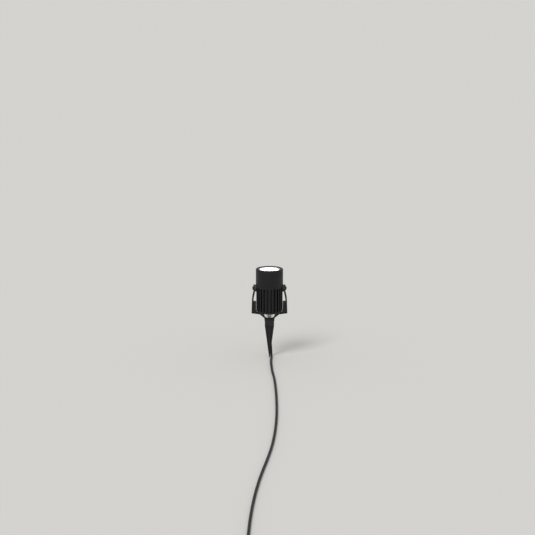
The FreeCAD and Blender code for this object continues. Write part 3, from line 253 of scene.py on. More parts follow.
def turned_ring(name: str, section: Section, sides: int) -> bpy.types.Object:
    """Raises a closed section into a ring about Z, one circle at a time, as on a lathe.

    Args:
        name: the piece's name.
        section: its corners in order, as (radius, height) in millimetres.
        sides: sides of the circle.

    Returns:
        The ring, its place in its mesh.
    """
    first_radius, first_height = section[0]
    ring = new_piece(name, bpy.ops.mesh.primitive_circle_add, vertices=sides, radius=mm(first_radius),
                     location=(0, 0, mm(first_height)))

    def raise_circles() -> None:
        """Extrudes and resizes the circle through every corner and closes the seam."""
        bpy.ops.mesh.select_mode(type="VERT")
        bpy.ops.mesh.select_all(action="SELECT")
        for (radius, height), (next_radius, next_height) in zip(section, section[1:] + section[:1]):
            rise, scale = mm(next_height - height), next_radius / radius
            bpy.ops.mesh.extrude_region_move(TRANSFORM_OT_translate={"value": (0, 0, rise)})
            bpy.ops.transform.resize(value=(scale, scale, 1), center_override=(0, 0, mm(next_height)))
        close_seams()
        face_outwards()

    shape_mesh(ring, raise_circles)
    settle(ring)
    return ring


# ---- finishes
RING_WAVE = 6.3  # radians of a wave from one turned ring to the next
RING_WOBBLE = 0.6  # how far the turned rings stray
WEAVE_TURN = 45.0  # degrees between the threads and the piece's edge
DRAWN_STRETCH = (1.0, 0.04, 1.0)  # the pattern's scale, drawn long in the direction of drawing
GRAIN_DETAIL, GRAIN_ROUGHNESS = 3.0, 0.6  # finer grains within each grain, and their share
PATCH_GRAINS, PATCH_DETAIL = 22, 4.0  # width in grains and detail of the patches of colour
PATCH_REACH = (0.3, 0.7)  # the patches' usual lowest and highest value
LEAST_ROUGHNESS = 0.02  # the smoothest that a patch of any surface gets
BAND_COVER = 0.85  # how much of the ground colour a band hides
EDGE_POINTINESS = (0.53, 0.62)  # where wear begins and where it is full
GLOW_FADE = 2.5  # mm over which a glow fades at the rim
GLOW_LEFT = 0.15  # share of the glow that is left at the rim


class Texture(Enum):
    """How a surface was made, which gives its fine pattern."""

    GRAIN = "moulded or sprayed, an even grain"
    TURNED = "turned on a lathe, rings round its axis"
    DRAWN = "extruded or drawn, faint lines along it"
    WOVEN = "woven or looped, a fine cross weave"
    POLISHED = "polished, with no pattern of its own"


@dataclass(frozen=True)
class Bands:
    """Colours that change at set places along an axis of the object."""

    axis: str
    colours: tuple[tuple[float, str], ...]
    reach: tuple[float, float]

    def socket(self, tree: bpy.types.NodeTree) -> bpy.types.NodeSocket:
        """Adds the nodes that pick the colour.

        Args:
            tree: the material's node tree.

        Returns:
            A colour socket.
        """
        spot = add_node(tree, "ShaderNodeTexCoord")
        parts = add_node(tree, "ShaderNodeSeparateXYZ", None, {"Vector": spot.outputs["Object"]})
        low, high = self.reach
        share = add_node(tree, "ShaderNodeMapRange", {"From Min": mm(low), "From Max": mm(high)},
                         {"Value": parts.outputs[self.axis]})
        ramp = add_node(tree, "ShaderNodeValToRGB", None, {"Fac": share.outputs["Result"]})
        stops = ramp.color_ramp
        stops.interpolation = "CONSTANT"
        for k, (start, colour) in enumerate(self.colours):
            at = (start - low) / (high - low)
            stop = stops.elements[0] if k == 0 else stops.elements.new(at)
            stop.position, stop.color = at, linear(colour)
        stops.elements.remove(stops.elements[-1])  # the ramp's own white end
        return ramp.outputs["Color"]


@dataclass(frozen=True)
class Finish:
    """A real material and how its surface was made.

    The grain and its depth are sizes in millimetres on the object. Where the real grain is finer than a
    pixel, it is drawn as coarse as it needs to show.
    """

    name: str
    colour: str
    patches: str
    roughness: float
    grain: float
    depth: float
    texture: Texture = Texture.GRAIN
    metallic: float = 0.0
    ior: float = 1.5
    spread: float = 0.08
    coat: float = 0.0
    sheen: float = 0.0
    clear: float = 0.0
    glow: float = 0.0
    glow_colour: str = "#ffffff"
    glow_reach: float = 0.0
    specular: float = 0.5
    wear: float = 0.0
    wear_colour: str = "#6f6f70"
    bands: Bands | None = None
    on_map: bool = False
    ring_axis: str = "Z"

    def where(self, tree: bpy.types.NodeTree) -> bpy.types.NodeSocket:
        """Adds the coordinates that the patterns follow: the object's own, or its map."""
        spot = add_node(tree, "ShaderNodeTexCoord")
        return spot.outputs["UV" if self.on_map else "Object"]

    def pattern(self, tree: bpy.types.NodeTree, spot: bpy.types.NodeSocket) -> bpy.types.NodeSocket:
        """Adds the surface's own fine pattern.

        Args:
            tree: the material's node tree.
            spot: the coordinates, in metres.

        Returns:
            A socket with the pattern's height, from 0 to 1.
        """
        scale = 1.0 / mm(self.grain)
        if self.texture is Texture.TURNED:
            rings = add_node(tree, "ShaderNodeTexWave", {
                "wave_type": "BANDS", "bands_direction": self.ring_axis, "Scale": scale / RING_WAVE,
                "Distortion": RING_WOBBLE,
            }, {"Vector": spot})
            return rings.outputs["Fac"]
        if self.texture is Texture.WOVEN:
            turned = add_node(tree, "ShaderNodeMapping", {"Rotation": (0.0, 0.0, math.radians(WEAVE_TURN))},
                              {"Vector": spot})
            weave = add_node(tree, "ShaderNodeTexVoronoi", {"Scale": scale}, {"Vector": turned.outputs[0]})
            return weave.outputs["Distance"]
        stretch = DRAWN_STRETCH if self.texture is Texture.DRAWN else (1.0, 1.0, 1.0)
        along = add_node(tree, "ShaderNodeMapping", {"Scale": stretch}, {"Vector": spot})
        grain = add_node(tree, "ShaderNodeTexNoise", {
            "Scale": scale, "Detail": GRAIN_DETAIL, "Roughness": GRAIN_ROUGHNESS,
        }, {"Vector": along.outputs[0]})
        return grain.outputs["Fac"]

    def tint(self, tree: bpy.types.NodeTree, clouds: bpy.types.NodeSocket) -> bpy.types.NodeSocket:
        """Adds the colour: a little uneven, in bands where it has them, and worn pale on its edges.

        Args:
            tree: the material's node tree.
            clouds: a slow pattern from 0 to 1.

        Returns:
            A colour socket.
        """
        shade = add_node(tree, "ShaderNodeMix", {"data_type": "RGBA"}, {"Factor": clouds})
        shade.inputs["A"].default_value = linear(self.colour)
        shade.inputs["B"].default_value = linear(self.patches)
        colour = shade.outputs["Result"]
        if self.bands:
            over = add_node(tree, "ShaderNodeMix", {"data_type": "RGBA", "Factor": BAND_COVER})
            tree.links.new(colour, over.inputs["A"])
            tree.links.new(self.bands.socket(tree), over.inputs["B"])
            colour = over.outputs["Result"]
        if self.wear:
            shape = add_node(tree, "ShaderNodeNewGeometry")
            start, full = EDGE_POINTINESS
            rubbed = add_node(tree, "ShaderNodeMapRange", {
                "From Min": start, "From Max": full, "To Max": self.wear,
            }, {"Value": shape.outputs["Pointiness"]})
            uneven = add_node(tree, "ShaderNodeMath", {"operation": "MULTIPLY"},
                              {0: rubbed.outputs["Result"], 1: clouds})
            worn = add_node(tree, "ShaderNodeMix", {"data_type": "RGBA"}, {"Factor": uneven.outputs[0]})
            tree.links.new(colour, worn.inputs["A"])
            worn.inputs["B"].default_value = linear(self.wear_colour)
            colour = worn.outputs["Result"]
        return colour

    def fading_glow(self, tree: bpy.types.NodeTree, spot: bpy.types.NodeSocket) -> bpy.types.NodeSocket:
        """Adds a glow that fades out towards the rim.

        Args:
            tree: the material's node tree.
            spot: the coordinates, in metres, with the axis along Z.

        Returns:
            A socket with the glow's strength.
        """
        flat = add_node(tree, "ShaderNodeVectorMath", {"operation": "MULTIPLY", 1: (1.0, 1.0, 0.0)},
                        {0: spot})
        reach = add_node(tree, "ShaderNodeVectorMath", {"operation": "LENGTH"}, {0: flat.outputs["Vector"]})
        fade = add_node(tree, "ShaderNodeMapRange", {
            "From Min": mm(self.glow_reach - GLOW_FADE), "From Max": mm(self.glow_reach),
            "To Min": self.glow, "To Max": self.glow * GLOW_LEFT,
        }, {"Value": reach.outputs["Value"]})
        return fade.outputs["Result"]

    def material(self) -> bpy.types.Material:
        """Builds the material.

        Returns:
            A new material named for this finish.
        """
        made = bpy.data.materials.new(self.name)
        made.use_nodes = True
        tree = made.node_tree
        surface = tree.nodes["Principled BSDF"]
        spot = self.where(tree)
        clouds = add_node(tree, "ShaderNodeTexNoise", {
            "Scale": 1.0 / mm(self.grain * PATCH_GRAINS), "Detail": PATCH_DETAIL,
        }, {"Vector": spot}).outputs["Fac"]
        tree.links.new(self.tint(tree, clouds), surface.inputs["Base Color"])
        low, high = PATCH_REACH
        gloss = add_node(tree, "ShaderNodeMapRange", {
            "From Min": low, "From Max": high,
            "To Min": max(LEAST_ROUGHNESS, self.roughness - self.spread),
            "To Max": min(1.0, self.roughness + self.spread),
        }, {"Value": clouds})
        tree.links.new(gloss.outputs["Result"], surface.inputs["Roughness"])
        if self.depth > 0:
            bump = add_node(tree, "ShaderNodeBump", {"Strength": 1.0, "Distance": mm(self.depth)},
                            {"Height": self.pattern(tree, spot)})
            tree.links.new(bump.outputs["Normal"], surface.inputs["Normal"])
        if self.glow_reach:
            tree.links.new(self.fading_glow(tree, spot), surface.inputs["Emission Strength"])
        for socket, value in {
            "Metallic": self.metallic, "IOR": self.ior, "Specular IOR Level": self.specular,
            "Coat Weight": self.coat, "Sheen Weight": self.sheen, "Transmission Weight": self.clear,
            "Emission Color": linear(self.glow_colour), "Emission Strength": self.glow,
        }.items():
            surface.inputs[socket].default_value = value
        return made


# Die-cast aluminium under a sprayed powder coat: a satin black with a slight orange peel, rubbed a
# little paler on its edges.
POWDER_COAT = Finish("black_powder_coat", "#0d0d0e", "#131314", 0.48, 0.9, 0.05, specular=0.32, wear=0.4)
# Glass-filled nylon from a spark-eroded mould: flatter and greyer than the coated metal, its corners
# scuffed by soil and gravel.
NYLON = Finish("black_nylon", "#101010", "#161615", 0.57, 0.6, 0.05, ior=1.53, specular=0.34, wear=0.5,
               wear_colour="#5d5b57")
# Toughened soda-lime glass with polished faces, which the lit lens shines through.
GLASS = Finish("front_glass", "#f4f8f6", "#f1f6f4", 0.04, 4.0, 0.0, Texture.POLISHED, ior=1.52, spread=0.01,
               clear=1.0)
# Clear moulded acrylic, filled with the light of the source under it.
LIT_ACRYLIC = Finish("clear_acrylic", "#f6f6f2", "#ffffff", 0.15, 3.0, 0.0, Texture.POLISHED, ior=1.49,
                     spread=0.03, clear=0.35, glow=1.3, glow_colour="#fffdf8", glow_reach=25.4)
# Moulded black polycarbonate, smooth and slightly glossy.
POLYCARBONATE = Finish("holder_plastic", "#232323", "#282828", 0.35, 0.8, 0.02, ior=1.58)
# White ceramic base with yellow phosphor in silicone on top, lit.
PHOSPHOR = Finish("led_phosphor", "#f2dc7a", "#f7e69a", 0.6, 0.4, 0.02, glow=1.5, glow_colour="#fff6dd",
                  bands=Bands("Z", ((190.0, "#efeee9"), (198.9, "#f2d864")), (190.0, 210.0)))
# Aluminium board under a white solder mask.
WHITE_MASK = Finish("aluminium_board", "#e9e9e4", "#f1f1ee", 0.4, 0.7, 0.02, coat=0.2)
# Grey silicone pad, soft and matt.
HEAT_PAD = Finish("thermal_pad", "#8b8f94", "#969a9e", 0.8, 0.5, 0.04, ior=1.41)
# Moulded silicone, matt with a faint bloom.
SILICONE = Finish("silicone_seal", "#262626", "#2e2e2e", 0.62, 0.5, 0.03, ior=1.41)
# Stainless steel turned on a lathe: bright, with the tool's fine rings.
STAINLESS = Finish("stainless_steel", "#c9c8c5", "#d2d1ce", 0.3, 0.35, 0.01, Texture.TURNED, metallic=1.0)
# Steel blackened in hot oxide: dark, with a dull metal shine.
BLACKENED_STEEL = Finish("black_steel", "#161617", "#1e1e1f", 0.45, 0.4, 0.01, metallic=0.7, wear=0.3)
# Brass with a satin nickel plate: pale, slightly warm, soft in its shine, with the lathe's rings.
NICKEL = Finish("nickel_plate", "#dedbd3", "#e6e3dc", 0.5, 0.45, 0.008, Texture.TURNED, metallic=1.0)
# The same plate on the plug's pins, polished by its socket. They lie along Y.
PIN_NICKEL = replace(NICKEL, name="nickel_pin", roughness=0.24, ring_axis="Y")
# The same plate on rolled strip, with the rolls' faint lines.
STRIP_NICKEL = replace(NICKEL, name="nickel_strip", roughness=0.3, texture=Texture.DRAWN)
# Plain turned brass: yellow, with fine rings.
BRASS = Finish("brass", "#d3b06a", "#dcbd7b", 0.3, 0.35, 0.01, Texture.TURNED, metallic=1.0)
# Green glass-fibre board with its cloth showing through the mask.
GREEN_BOARD = Finish("circuit_board", "#1d5a34", "#23683d", 0.42, 0.6, 0.02, Texture.WOVEN, coat=0.3)
# Ferrite core, dark and slightly sparkling, with yellow tape round its winding.
FERRITE = Finish("transformer", "#4a4640", "#57524b", 0.6, 0.5, 0.05, bands=Bands(
    "Z", ((140.0, "#46423c"), (151.5, "#dcb13a"), (162.0, "#46423c")), (140.0, 170.0)))
# Aluminium can in a shrink sleeve, its bare top shining.
SHRINK_SLEEVE = Finish("capacitor_sleeve", "#20222f", "#272a3a", 0.33, 1.2, 0.02,
                       bands=Bands("Z", ((160.0, "#20222f"), (180.2, "#b9bbbf")), (160.0, 190.0)))
# Pale moulded polyamide, satin.
POLYAMIDE = Finish("terminal_plastic", "#dcdcd6", "#e4e4e0", 0.5, 0.6, 0.02, ior=1.53)
# Silicone insulation: brown, blue and green for the mains, red and black for the lamp's own pair.
MAINS_INSULATION = Finish("mains_insulation", "#7a4426", "#85502f", 0.5, 0.6, 0.02, ior=1.41, bands=Bands(
    "X", ((-10.0, "#6e3a1e"), (-0.95, "#3f8f3a"), (0.95, "#2c56a4")), (-10.0, 10.0)))
LEAD_INSULATION = Finish("wire_insulation", "#b5322a", "#bf3c33", 0.5, 0.6, 0.02, ior=1.41,
                         bands=Bands("X", ((-4.0, "#b02f27"), (0.0, "#1c1c1c")), (-4.0, 4.0)))
# Extruded rubber sheath: matt, with faint lines along it and a little dust.
CORD_RUBBER = Finish("cord_rubber", "#101010", "#181817", 0.62, 0.7, 0.05, Texture.DRAWN, ior=1.52,
                     spread=0.1, specular=0.35, on_map=True)
# The same rubber inside the gland, where only its grain shows.
CUT_RUBBER = Finish("sheath_end", "#101010", "#181817", 0.62, 0.8, 0.05, ior=1.52, specular=0.35)
# Rubber moulded over the plug: matt, its rims rubbed grey.
PLUG_RUBBER = Finish("plug_rubber", "#131313", "#191919", 0.6, 0.7, 0.07, ior=1.52, specular=0.35, wear=0.4)
# Hook-and-loop tape: looped pile that scatters light.
TAPE = Finish("tie_fabric", "#1c1c1e", "#28282a", 0.9, 0.5, 0.25, Texture.WOVEN, sheen=0.4, on_map=True)
# Polyester thread, a shade paler than the tape.
THREAD = Finish("stitch_thread", "#3a3a3c", "#444446", 0.7, 0.3, 0.04, sheen=0.3)
# Natural acetal, milky grey, smooth and faintly waxy.
ACETAL = Finish("washer_plastic", "#9a9a95", "#a3a39e", 0.42, 0.7, 0.01, ior=1.48)


class Wardrobe:
    """Builds each finish once and puts it on nodes and pieces."""

    def __init__(self) -> None:
        """Starts with no material made."""
        self.made: dict[str, bpy.types.Material] = {}

    def get(self, finish: Finish) -> bpy.types.Material:
        """Gives the material of a finish, made on first use."""
        if finish.name not in self.made:
            self.made[finish.name] = finish.material()
        return self.made[finish.name]

    def wear(self, piece: bpy.types.Object, finish: Finish, slot: str, body: str | None = None) -> None:
        """Finishes a new piece and sets what it rides on.

        Args:
            piece: the piece.
            finish: its finish all over.
            slot: the record's material slot; not used.
            body: the CAD body that it rides on, left out where it bends between two.
        """
        piece.data.materials.clear()
        piece.data.materials.append(self.get(finish))
        if body:
            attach(piece, body)
        LOG.info("%s: %d faces in %s", piece.name, len(piece.data.polygons), finish.name)

    def dress(self, finish: Finish, *nodes: str, rounding: float = 0.0) -> None:
        """Gives CAD nodes a finish through their own material slots.

        Args:
            finish: the finish.
            nodes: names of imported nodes.
            rounding: width in millimetres to which their sharp edges are broken.
        """
        for name in nodes:
            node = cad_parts[name]
            for slot in node.material_slots:
                slot.material = self.get(finish)
            if rounding:
                round_node(node, rounding)
            LOG.info("%s: dressed in %s", name, finish.name)


FLAT_TURN = 0.5  # degrees, triangles that turn less than this are one flat face


def round_node(node: bpy.types.Object, width: float) -> None:
    """Breaks a CAD node's sharp edges with live modifiers, its own mesh left as it is.

    Args:
        node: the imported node's object.
        width: the rounding's width in millimetres.
    """
    weld = node.modifiers.new("closed seams", "WELD")
    weld.merge_threshold = mm(SEAM_GAP)
    flats = node.modifiers.new("whole faces", "DECIMATE")
    flats.decimate_type, flats.angle_limit = "DISSOLVE", math.radians(FLAT_TURN)
    bevel = node.modifiers.new("broken edges", "BEVEL")
    bevel.width, bevel.segments = mm(width), EDGE_FACES
    bevel.limit_method, bevel.angle_limit = "ANGLE", math.radians(EDGE_TURN)
    bevel.harden_normals, bevel.use_clamp_overlap = True, False


# ---- studio
@dataclass
class Studio:
    """Camera at the photograph's place, plain floor and soft light. Floor and sight are in metres."""

    camera_at: Point = (-5.0, -5020.0, 1304.0)
    pitch: float = 12.0
    lens: float = 134.6
    sensor: float = 36.0
    sight: float = 200.0
    floor_size: float = 60.0
    floor_back: float = 10.0
    floor_colour: str = "#dddcd9"
    floor_roughness: float = 0.95
    floor_shine: float = 0.1
    sky: float = 0.62
    key: float = 1.25
    key_turn: tuple[float, float] = (38.0, -24.0)
    key_spread: float = 25.0

    def camera(self) -> None:
        """Sets the camera."""
        bpy.ops.object.select_all(action="DESELECT")
        tilt = math.radians(90 - self.pitch)
        bpy.ops.object.camera_add(location=place(self.camera_at), rotation=(tilt, 0, 0))
        camera = bpy.context.object
        camera.data.lens, camera.data.sensor_width = self.lens, self.sensor
        camera.data.clip_end = self.sight
        bpy.context.scene.camera = camera

    def light(self) -> None:
        """Lights the scene with an even sky and one broad soft lamp."""
        world = bpy.data.worlds.new("studio")
        bpy.context.scene.world = world
        world.use_nodes = True
        backdrop = world.node_tree.nodes["Background"]
        backdrop.inputs["Color"].default_value = linear("#ffffff")
        backdrop.inputs["Strength"].default_value = self.sky
        over, aside = self.key_turn
        bpy.ops.object.light_add(type="SUN", rotation=(math.radians(over), math.radians(aside), 0))
        lamp = bpy.context.object
        lamp.data.energy, lamp.data.angle = self.key, math.radians(self.key_spread)

    def floor(self) -> None:
        """Lays the floor."""
        floor = new_piece("studio_floor", bpy.ops.mesh.primitive_plane_add, size=self.floor_size,
                          location=(0, self.floor_back, 0))
        settle(floor)
        paint = bpy.data.materials.new("matt_floor_paint")
        paint.use_nodes = True
        surface = paint.node_tree.nodes["Principled BSDF"]
        surface.inputs["Base Color"].default_value = linear(self.floor_colour)
        surface.inputs["Roughness"].default_value = self.floor_roughness
        surface.inputs["Specular IOR Level"].default_value = self.floor_shine
        floor.data.materials.append(paint)

    def build(self) -> None:
        """Sets up camera, light and floor."""
        self.camera()
        self.light()
        self.floor()
        bpy.context.scene.view_settings.view_transform = "Standard"


# ---- head
@dataclass
class Head:
    """The lamp's head: the lens's face behind the glass, the gland's lip, and the finishes.

    A cell's dome is given as the inset and rise of each step, and the lip's section as each corner's
    distance out from its bore and down from the gland's mouth.
    """

    lens_top: float = 229.2
    lens_reach: float = 23.4
    cell_pitch: float = 3.2
    cell_joint: float = 0.12
    cell_foot: float = 0.12
    cell_dome: Pairs = ((0.3, 0.15), (0.35, 0.09), (0.35, 0.04))
    cell_smooth: float = 40.0
    gland_y: float = 17.0
    gland_mouth: float = 100.0
    cord_radius: float = 3.0
    lip_gap: float = 0.04
    lip_section: Pairs = ((0.0, 0.02), (0.0, 1.3), (0.7, 1.5), (1.15, 1.1), (1.3, 0.02))
    lip_sides: int = 40
    lip_rounding: float = 0.15

    def lens_face(self, wardrobe: Wardrobe) -> None:
        """Covers the lens's face with small six-sided lenses that spread the beam.

        Args:
            wardrobe: where its finish comes from.
        """
        across = self.cell_pitch - self.cell_joint
        cell = new_piece("lens_cell", bpy.ops.mesh.primitive_cylinder_add, vertices=6,
                         radius=mm(across / math.sqrt(3)), depth=mm(self.cell_foot),
                         location=(0, 0, mm(self.lens_top + self.cell_foot / 2)))
        pick_faces(cell, is_top)

        def crown() -> None:
            """Steps the cell's top up and in to a low dome."""
            for inset, rise in self.cell_dome:
                bpy.ops.mesh.inset(thickness=mm(inset), depth=mm(rise))

        shape_mesh(cell, crown)
        settle(cell)
        pick_only(cell)
        bpy.ops.object.shade_smooth_by_angle(angle=math.radians(self.cell_smooth))
        row_step = self.cell_pitch * math.sqrt(3) / 2
        rows = int(self.lens_reach / row_step)
        cells = []
        for row in range(-rows, rows + 1):
            shift = self.cell_pitch / 2 if row % 2 else 0.0
            for column in range(-rows - 1, rows + 2):
                y, x = row * row_step, column * self.cell_pitch + shift
                if math.hypot(x, y) <= self.lens_reach:
                    cells.append(copy_of(cell, Matrix.Translation(place((x, y, 0.0)))))
        bpy.data.objects.remove(cell)
        wardrobe.wear(join_pieces("lens_face", cells), LIT_ACRYLIC, "clear_acrylic", "head")

    def gland_lip(self, wardrobe: Wardrobe) -> None:
        """Turns the soft lip that closes the gland's mouth round the cord.

        Args:
            wardrobe: where its finish comes from.
        """
        bore = self.cord_radius + self.lip_gap
        section = [(bore + out, self.gland_mouth - down) for out, down in self.lip_section]
        lip = turned_ring("gland_lip", section, self.lip_sides)
        lip.data.transform(Matrix.Translation(place((0.0, self.gland_y, 0.0))))
        soften(lip, self.lip_rounding)
        wardrobe.wear(lip, SILICONE, "silicone_seal", "head")

    def build(self, wardrobe: Wardrobe) -> None:
        """Builds the head's own pieces and finishes its nodes.

        Args:
            wardrobe: where the finishes come from.
        """
        self.lens_face(wardrobe)
        self.gland_lip(wardrobe)
        wardrobe.dress(POWDER_COAT, "front_collar", "bottom_cap", rounding=0.25)
        wardrobe.dress(POWDER_COAT, "heat_sink_body", rounding=0.3)
        wardrobe.dress(GLASS, "front_glass", rounding=0.35)
        wardrobe.dress(LIT_ACRYLIC, "lens_optic")
        wardrobe.dress(SILICONE, "glass_seal", "collar_seal", "cap_seal", "gland_seal")
        wardrobe.dress(POLYCARBONATE, "optic_holder")
        wardrobe.dress(PHOSPHOR, "led_chip")
        wardrobe.dress(WHITE_MASK, "led_board")
        wardrobe.dress(HEAT_PAD, "thermal_pad")
        wardrobe.dress(STAINLESS, "board_screws", "cap_screws")
        wardrobe.dress(GREEN_BOARD, "driver_board")
        wardrobe.dress(FERRITE, "driver_transformer", rounding=0.4)
        wardrobe.dress(SHRINK_SLEEVE, "driver_capacitor", rounding=0.4)
        wardrobe.dress(POLYAMIDE, "terminal_block", rounding=0.3)
        wardrobe.dress(LEAD_INSULATION, "led_leads")
        wardrobe.dress(MAINS_INSULATION, "mains_cores")
        wardrobe.dress(NICKEL, "gland_body", "gland_nut", rounding=0.3)
        wardrobe.dress(CUT_RUBBER, "inner_cord_end")
        wardrobe.dress(BLACKENED_STEEL, "pivot_screw_right", "pivot_screw_left", rounding=0.15)
        wardrobe.dress(ACETAL, "pivot_washer_right", "pivot_washer_left")


# ---- stand
@dataclass
class Stand:
    """The fork with its corner ribs, and the ground spike under it."""

    fork_rounding: float = 0.7
    spike_rounding: float = 0.3
    rib_inner: float = 32.1
    rib_outer: float = 34.9
    rib_low: float = 117.7
    rib_top: float = 123.0
    rib_half_depth: float = 7.5
    rib_slope: float = 1.2
    rib_rounding: float = 0.25

    def corner_ribs(self, wardrobe: Wardrobe) -> None:
        """Thickens the fork's inner corners, where the webs stand on the foot beside the cap.

        Args:
            wardrobe: where the finish comes from.
        """
        width, slope = self.rib_outer - self.rib_inner, mm(self.rib_slope)
        middle = ((self.rib_outer + self.rib_inner) / 2, 0.0, (self.rib_top + self.rib_low) / 2)
        rib = new_piece("corner_rib", bpy.ops.mesh.primitive_cube_add, size=1.0, location=place(middle))
        rib.scale = place((width, 2 * self.rib_half_depth, self.rib_top - self.rib_low))
        settle(rib)
        pick_faces(rib, is_top)

        def slope_top() -> None:
            """Lowers the top and raises it again drawn back, which leaves a slope on its inner side."""
            bpy.ops.transform.translate(value=(0, 0, -slope))
            bpy.ops.mesh.extrude_region_move(TRANSFORM_OT_translate={"value": (0, 0, slope)})
            back = place((self.rib_outer, 0.0, self.rib_top))
            bpy.ops.transform.resize(value=(1 - self.rib_slope / width, 1, 1), center_override=back)

        shape_mesh(rib, slope_top)
        soften(rib, self.rib_rounding)
        twin = copy_of(rib, Matrix.Rotation(math.pi, 4, "Z"))
        wardrobe.wear(join_pieces("fork_corner_ribs", [rib, twin]), NYLON, "black_nylon", "stand")

    def build(self, wardrobe: Wardrobe) -> None:
        """Adds the ribs and finishes the stand's nodes.

        Args:
            wardrobe: where the finishes come from.
        """
        self.corner_ribs(wardrobe)
        wardrobe.dress(NYLON, "fork", rounding=self.fork_rounding)
        wardrobe.dress(NYLON, "spike", rounding=self.spike_rounding)
        wardrobe.dress(BRASS, "spike_insert")
        wardrobe.dress(BLACKENED_STEEL, "spike_bolt")


# ---- plug
@dataclass
class Plug:
    """The moulded plug at the cord's far end: grip rings, pins and earth clips."""

    entry: Point = (-43.2, -1570.0, 18.5)
    shoulder_start: float = 34.0
    shoulder_end: float = 50.0
    shoulder_radius: float = 13.5
    shoulder_flare: float = 1.5
    ring_count: int = 4
    ring_width: float = 1.7
    ring_height: float = 0.8
    ring_edge: float = 0.35
    ring_sunk: float = 0.4
    ring_sides: int = 72
    ring_rounding: float = 0.12

    def along(self) -> Matrix:
        """Gives the move from a ring about Z at the origin to the plug's own axis."""
        return Matrix.Translation(place(self.entry)) @ Matrix.Rotation(math.radians(90), 4, "X")

    def grip(self, wardrobe: Wardrobe) -> bpy.types.Object:
        """Raises the rings that fingers pull on.

        Args:
            wardrobe: where the finish comes from.

        Returns:
            The rings as one piece.
        """
        rings, span = [], self.shoulder_end - self.shoulder_start
        for k in range(self.ring_count):
            share = (k + 0.5) / self.ring_count
            radius = self.shoulder_radius + self.shoulder_flare * share
            at = self.shoulder_start + span * share
            half, top = self.ring_width / 2, radius + self.ring_height
            foot, edge = radius - self.ring_sunk, radius + self.ring_edge
            rings.append(turned_ring("grip_ring", [
                (foot, at - half), (edge, at - half), (top, at - half / 2),
                (top, at + half / 2), (edge, at + half), (foot, at + half),
            ], self.ring_sides))
        grip = join_pieces("plug_grip", rings)
        grip.data.transform(self.along())
        soften(grip, self.ring_rounding)
        wardrobe.wear(grip, PLUG_RUBBER, "plug_rubber", "stand")
        return grip

    def build(self, wardrobe: Wardrobe) -> list[bpy.types.Object]:
        """Builds the plug.

        Args:
            wardrobe: where the finishes come from.

        Returns:
            Every piece of the plug, CAD nodes among them.
        """
        wardrobe.dress(PLUG_RUBBER, "plug_body", rounding=0.5)
        wardrobe.dress(PLUG_RUBBER, "plug_relief", rounding=0.25)
        wardrobe.dress(PIN_NICKEL, "plug_pins", rounding=0.2)
        wardrobe.dress(STRIP_NICKEL, "plug_earth_clips", rounding=0.25)
        names = ("plug_relief", "plug_body", "plug_pins", "plug_earth_clips")
        return [self.grip(wardrobe)] + [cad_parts[name] for name in names]


